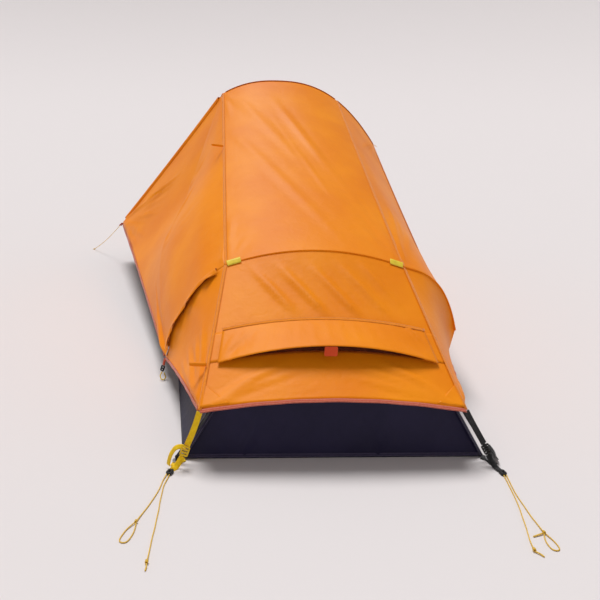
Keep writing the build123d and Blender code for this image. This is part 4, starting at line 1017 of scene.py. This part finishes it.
tail("tail_left", (-0.446, -1.467, 0.0026), (-0.447, -1.486, 0.0014))
tail("tail_right_loop", (0.388, -1.392, 0.0026), (0.363, -1.401, 0.0014))
tail("tail_right", (0.343, -1.450, 0.0026), (0.355, -1.466, 0.0014))
tail("tail_vestibule", (-0.902, 1.102, 0.0026), (-0.912, 1.112, 0.0014))

LEFT_STRAND = laid((-0.4195, -1.1492, 0.0032), [(-0.427, -1.171), (-0.431, -1.196), (-0.437, -1.222),
                   (-0.446, -1.250), (-0.456, -1.279), (-0.467, -1.305)], (-0.4756, -1.3297, 0.003))
LEFT_LOOP = laid((-0.4802, -1.3372, 0.003), [(-0.4934, -1.3537), (-0.5016, -1.3741), (-0.5073, -1.3935),
                 (-0.5005, -1.4014), (-0.4903, -1.3994), (-0.4822, -1.3809), (-0.4773, -1.3593)],
                 (-0.4765, -1.3385, 0.003))
LEFT_TAIL = laid((-0.4131, -1.152, 0.0032), [(-0.419, -1.174), (-0.425, -1.197), (-0.427, -1.226),
                 (-0.430, -1.258), (-0.431, -1.290), (-0.434, -1.322), (-0.436, -1.355), (-0.440, -1.388),
                 (-0.442, -1.422)], (-0.4446, -1.4547, 0.003))
RIGHT_STRAND = laid((0.4067, -1.1673, 0.0032), [(0.404, -1.190), (0.400, -1.214), (0.396, -1.240),
                    (0.394, -1.269), (0.393, -1.299), (0.391, -1.330), (0.392, -1.360)],
                    (0.3911, -1.3867, 0.003))
RIGHT_LOOP = laid((0.3931, -1.395, 0.003), [(0.399, -1.411), (0.401, -1.427), (0.400, -1.443),
                  (0.391, -1.4484), (0.382, -1.443), (0.381, -1.427), (0.383, -1.411)],
                  (0.3889, -1.395, 0.003))
RIGHT_TAIL = laid((0.4003, -1.1682, 0.0032), [(0.398, -1.191), (0.394, -1.215), (0.390, -1.242),
                  (0.385, -1.271), (0.379, -1.301), (0.371, -1.331), (0.364, -1.361), (0.356, -1.390),
                  (0.348, -1.418)], (0.3442, -1.4377, 0.003))
VESTIBULE = [(-0.7422, 0.9078, 0.1765), (-0.757, 0.925, 0.158), (-0.774, 0.9455, 0.137), (-0.791, 0.9665, 0.116),
             (-0.809, 0.989, 0.095), (-0.827, 1.011, 0.075), (-0.8455, 1.033, 0.0565), (-0.864, 1.0555, 0.0385),
             (-0.8815, 1.077, 0.022), (-0.8996, 1.099, 0.0066)]

cord("left_guy_strand", LEFT_STRAND)
cord("left_guy_loop", LEFT_LOOP)
cord("left_guy_tail", LEFT_TAIL)
cord("right_guy_strand", RIGHT_STRAND)
cord("right_guy_loop", RIGHT_LOOP)
cord("right_guy_tail", RIGHT_TAIL)
cord("vestibule_guy_cord", VESTIBULE)

# ---------------------------------------------------------------- CAD nodes that stay

for node in ("left_foot_leg", "right_foot_leg", "ridge_poles", "head_legs", "brow_pole", "spreader_pole"):
    repaint(node, pole_metal)
for node in ("pole_ferrules", "corner_grommets", "near_zip_slider", "near_zip_pull", "far_zip_slider",
             "far_zip_pull"):
    repaint(node, bare_metal)
for node in ("pole_hubs", "pole_tips", "inner_clips", "right_buckle", "left_cord_lock", "right_cord_lock",
             "door_foot_buckle"):
    repaint(node, black_plastic)
repaint("left_ladder_lock", yellow_plastic)
repaint("vent_prop", tab_red)
repaint("zip_tapes", coated_cloth("zip_tape", (0.40, 0.10, 0.008), (0.50, 0.14, 0.01), 0.7, 0.5))

# ---------------------------------------------------------------- sheets

head_hem = mix(head_left, head_right, 0.5)
fly_girth = (between(stake_point, left_peak) + length_of(peak_line) + length_of(shoulder)
             + between(right_tab, right_side_hem))
fly_run = (between(foot_hem(0.5), brow(0.5)) + between(brow(0.5), peak_line(0.5))
           + between(peak_line(0.5), head_hem))
inner_girth = 2 * between(tub_head[-1], inner_peak[-1]) + length_of(inner_peak_line)
inner_run = (between(mix(tub_foot[-1], tub_foot[1], 0.5), inner_brow_line(0.5))
             + between(inner_brow_line(0.5), inner_peak_line(0.5))
             + between(inner_peak_line(0.5), mix(tub_head[-1], tub_head[1], 0.5)))
length_of(lambda t: wall_point(t, VENT_BOTTOM))
(VENT_TOP - VENT_BOTTOM) * between(foot_hem(0.5), brow(0.5))
length_of(hood_edge)
between(hood_edge(0.5), hood_top(0.5))
between(door_far(0), door_far(1))
between(door_near(1), door_far(1))

# ---------------------------------------------------------------- floor, light and camera


COVE_START, COVE_END, COVE_RISE = 6.0, 110.0, 4.2e-5


def studio():
    """A pale floor that rises as a shallow bowl far off, a broad soft key high behind, and a pale world."""
    rows = []
    for radius in [0.0, 2.0, 4.0] + [COVE_START + (COVE_END - COVE_START) * k / 40 for k in range(41)]:
        z = COVE_RISE * max(radius - COVE_START, 0) ** 3 - 0.0005
        rows.append([(radius * math.cos(a), radius * math.sin(a), z) for a in np.linspace(0, 2 * math.pi, 97)])
    ground = sewn("studio_floor", [np.array(rows)])
    material, _, shader = new_material("studio_floor", (0.735, 0.692, 0.692), 0.95, gloss=0.0)
    ground.data.materials.append(material)
    world = bpy.data.worlds.new("studio")
    world.use_nodes = True
    world.node_tree.nodes["Background"].inputs["Color"].default_value = (1.0, 0.995, 0.99, 1)
    world.node_tree.nodes["Background"].inputs["Strength"].default_value = 0.26
    bpy.context.scene.world = world
    light = bpy.data.lights.new("key", "SUN")
    light.energy = 2.65
    light.angle = math.radians(26)
    lamp = bpy.data.objects.new("key", light)
    lamp.rotation_euler = Vector((-0.12, 0.36, 0.90)).to_track_quat("Z", "Y").to_euler()
    bpy.context.collection.objects.link(lamp)


def camera():
    """The camera, beyond the foot and slightly to the left, looking a little down."""
    yaw, pitch, roll = (math.radians(a) for a in (-3.85, 14.48, 1.60))
    ahead = Vector((-math.sin(yaw), math.cos(yaw), 0))
    right = Vector((math.cos(yaw), math.sin(yaw), 0))
    up = Vector((0, 0, 1))
    forward = ahead * math.cos(pitch) - up * math.sin(pitch)
    above = up * math.cos(pitch) + ahead * math.sin(pitch)
    x_axis = right * math.cos(roll) + above * math.sin(roll)
    y_axis = above * math.cos(roll) - right * math.sin(roll)
    data = bpy.data.cameras.new("camera")
    data.sensor_width = 36
    data.lens = 42
    data.shift_x, data.shift_y = 0.1, -0.0667
    eye = bpy.data.objects.new("camera", data)
    turn = Matrix((x_axis, y_axis, -forward)).transposed()
    eye.matrix_world = Matrix.Translation((-0.359, -2.647, 0.921)) @ turn.to_4x4()
    bpy.context.collection.objects.link(eye)
    bpy.context.scene.camera = eye


studio()
camera()
bpy.context.scene.view_settings.view_transform = "Standard"
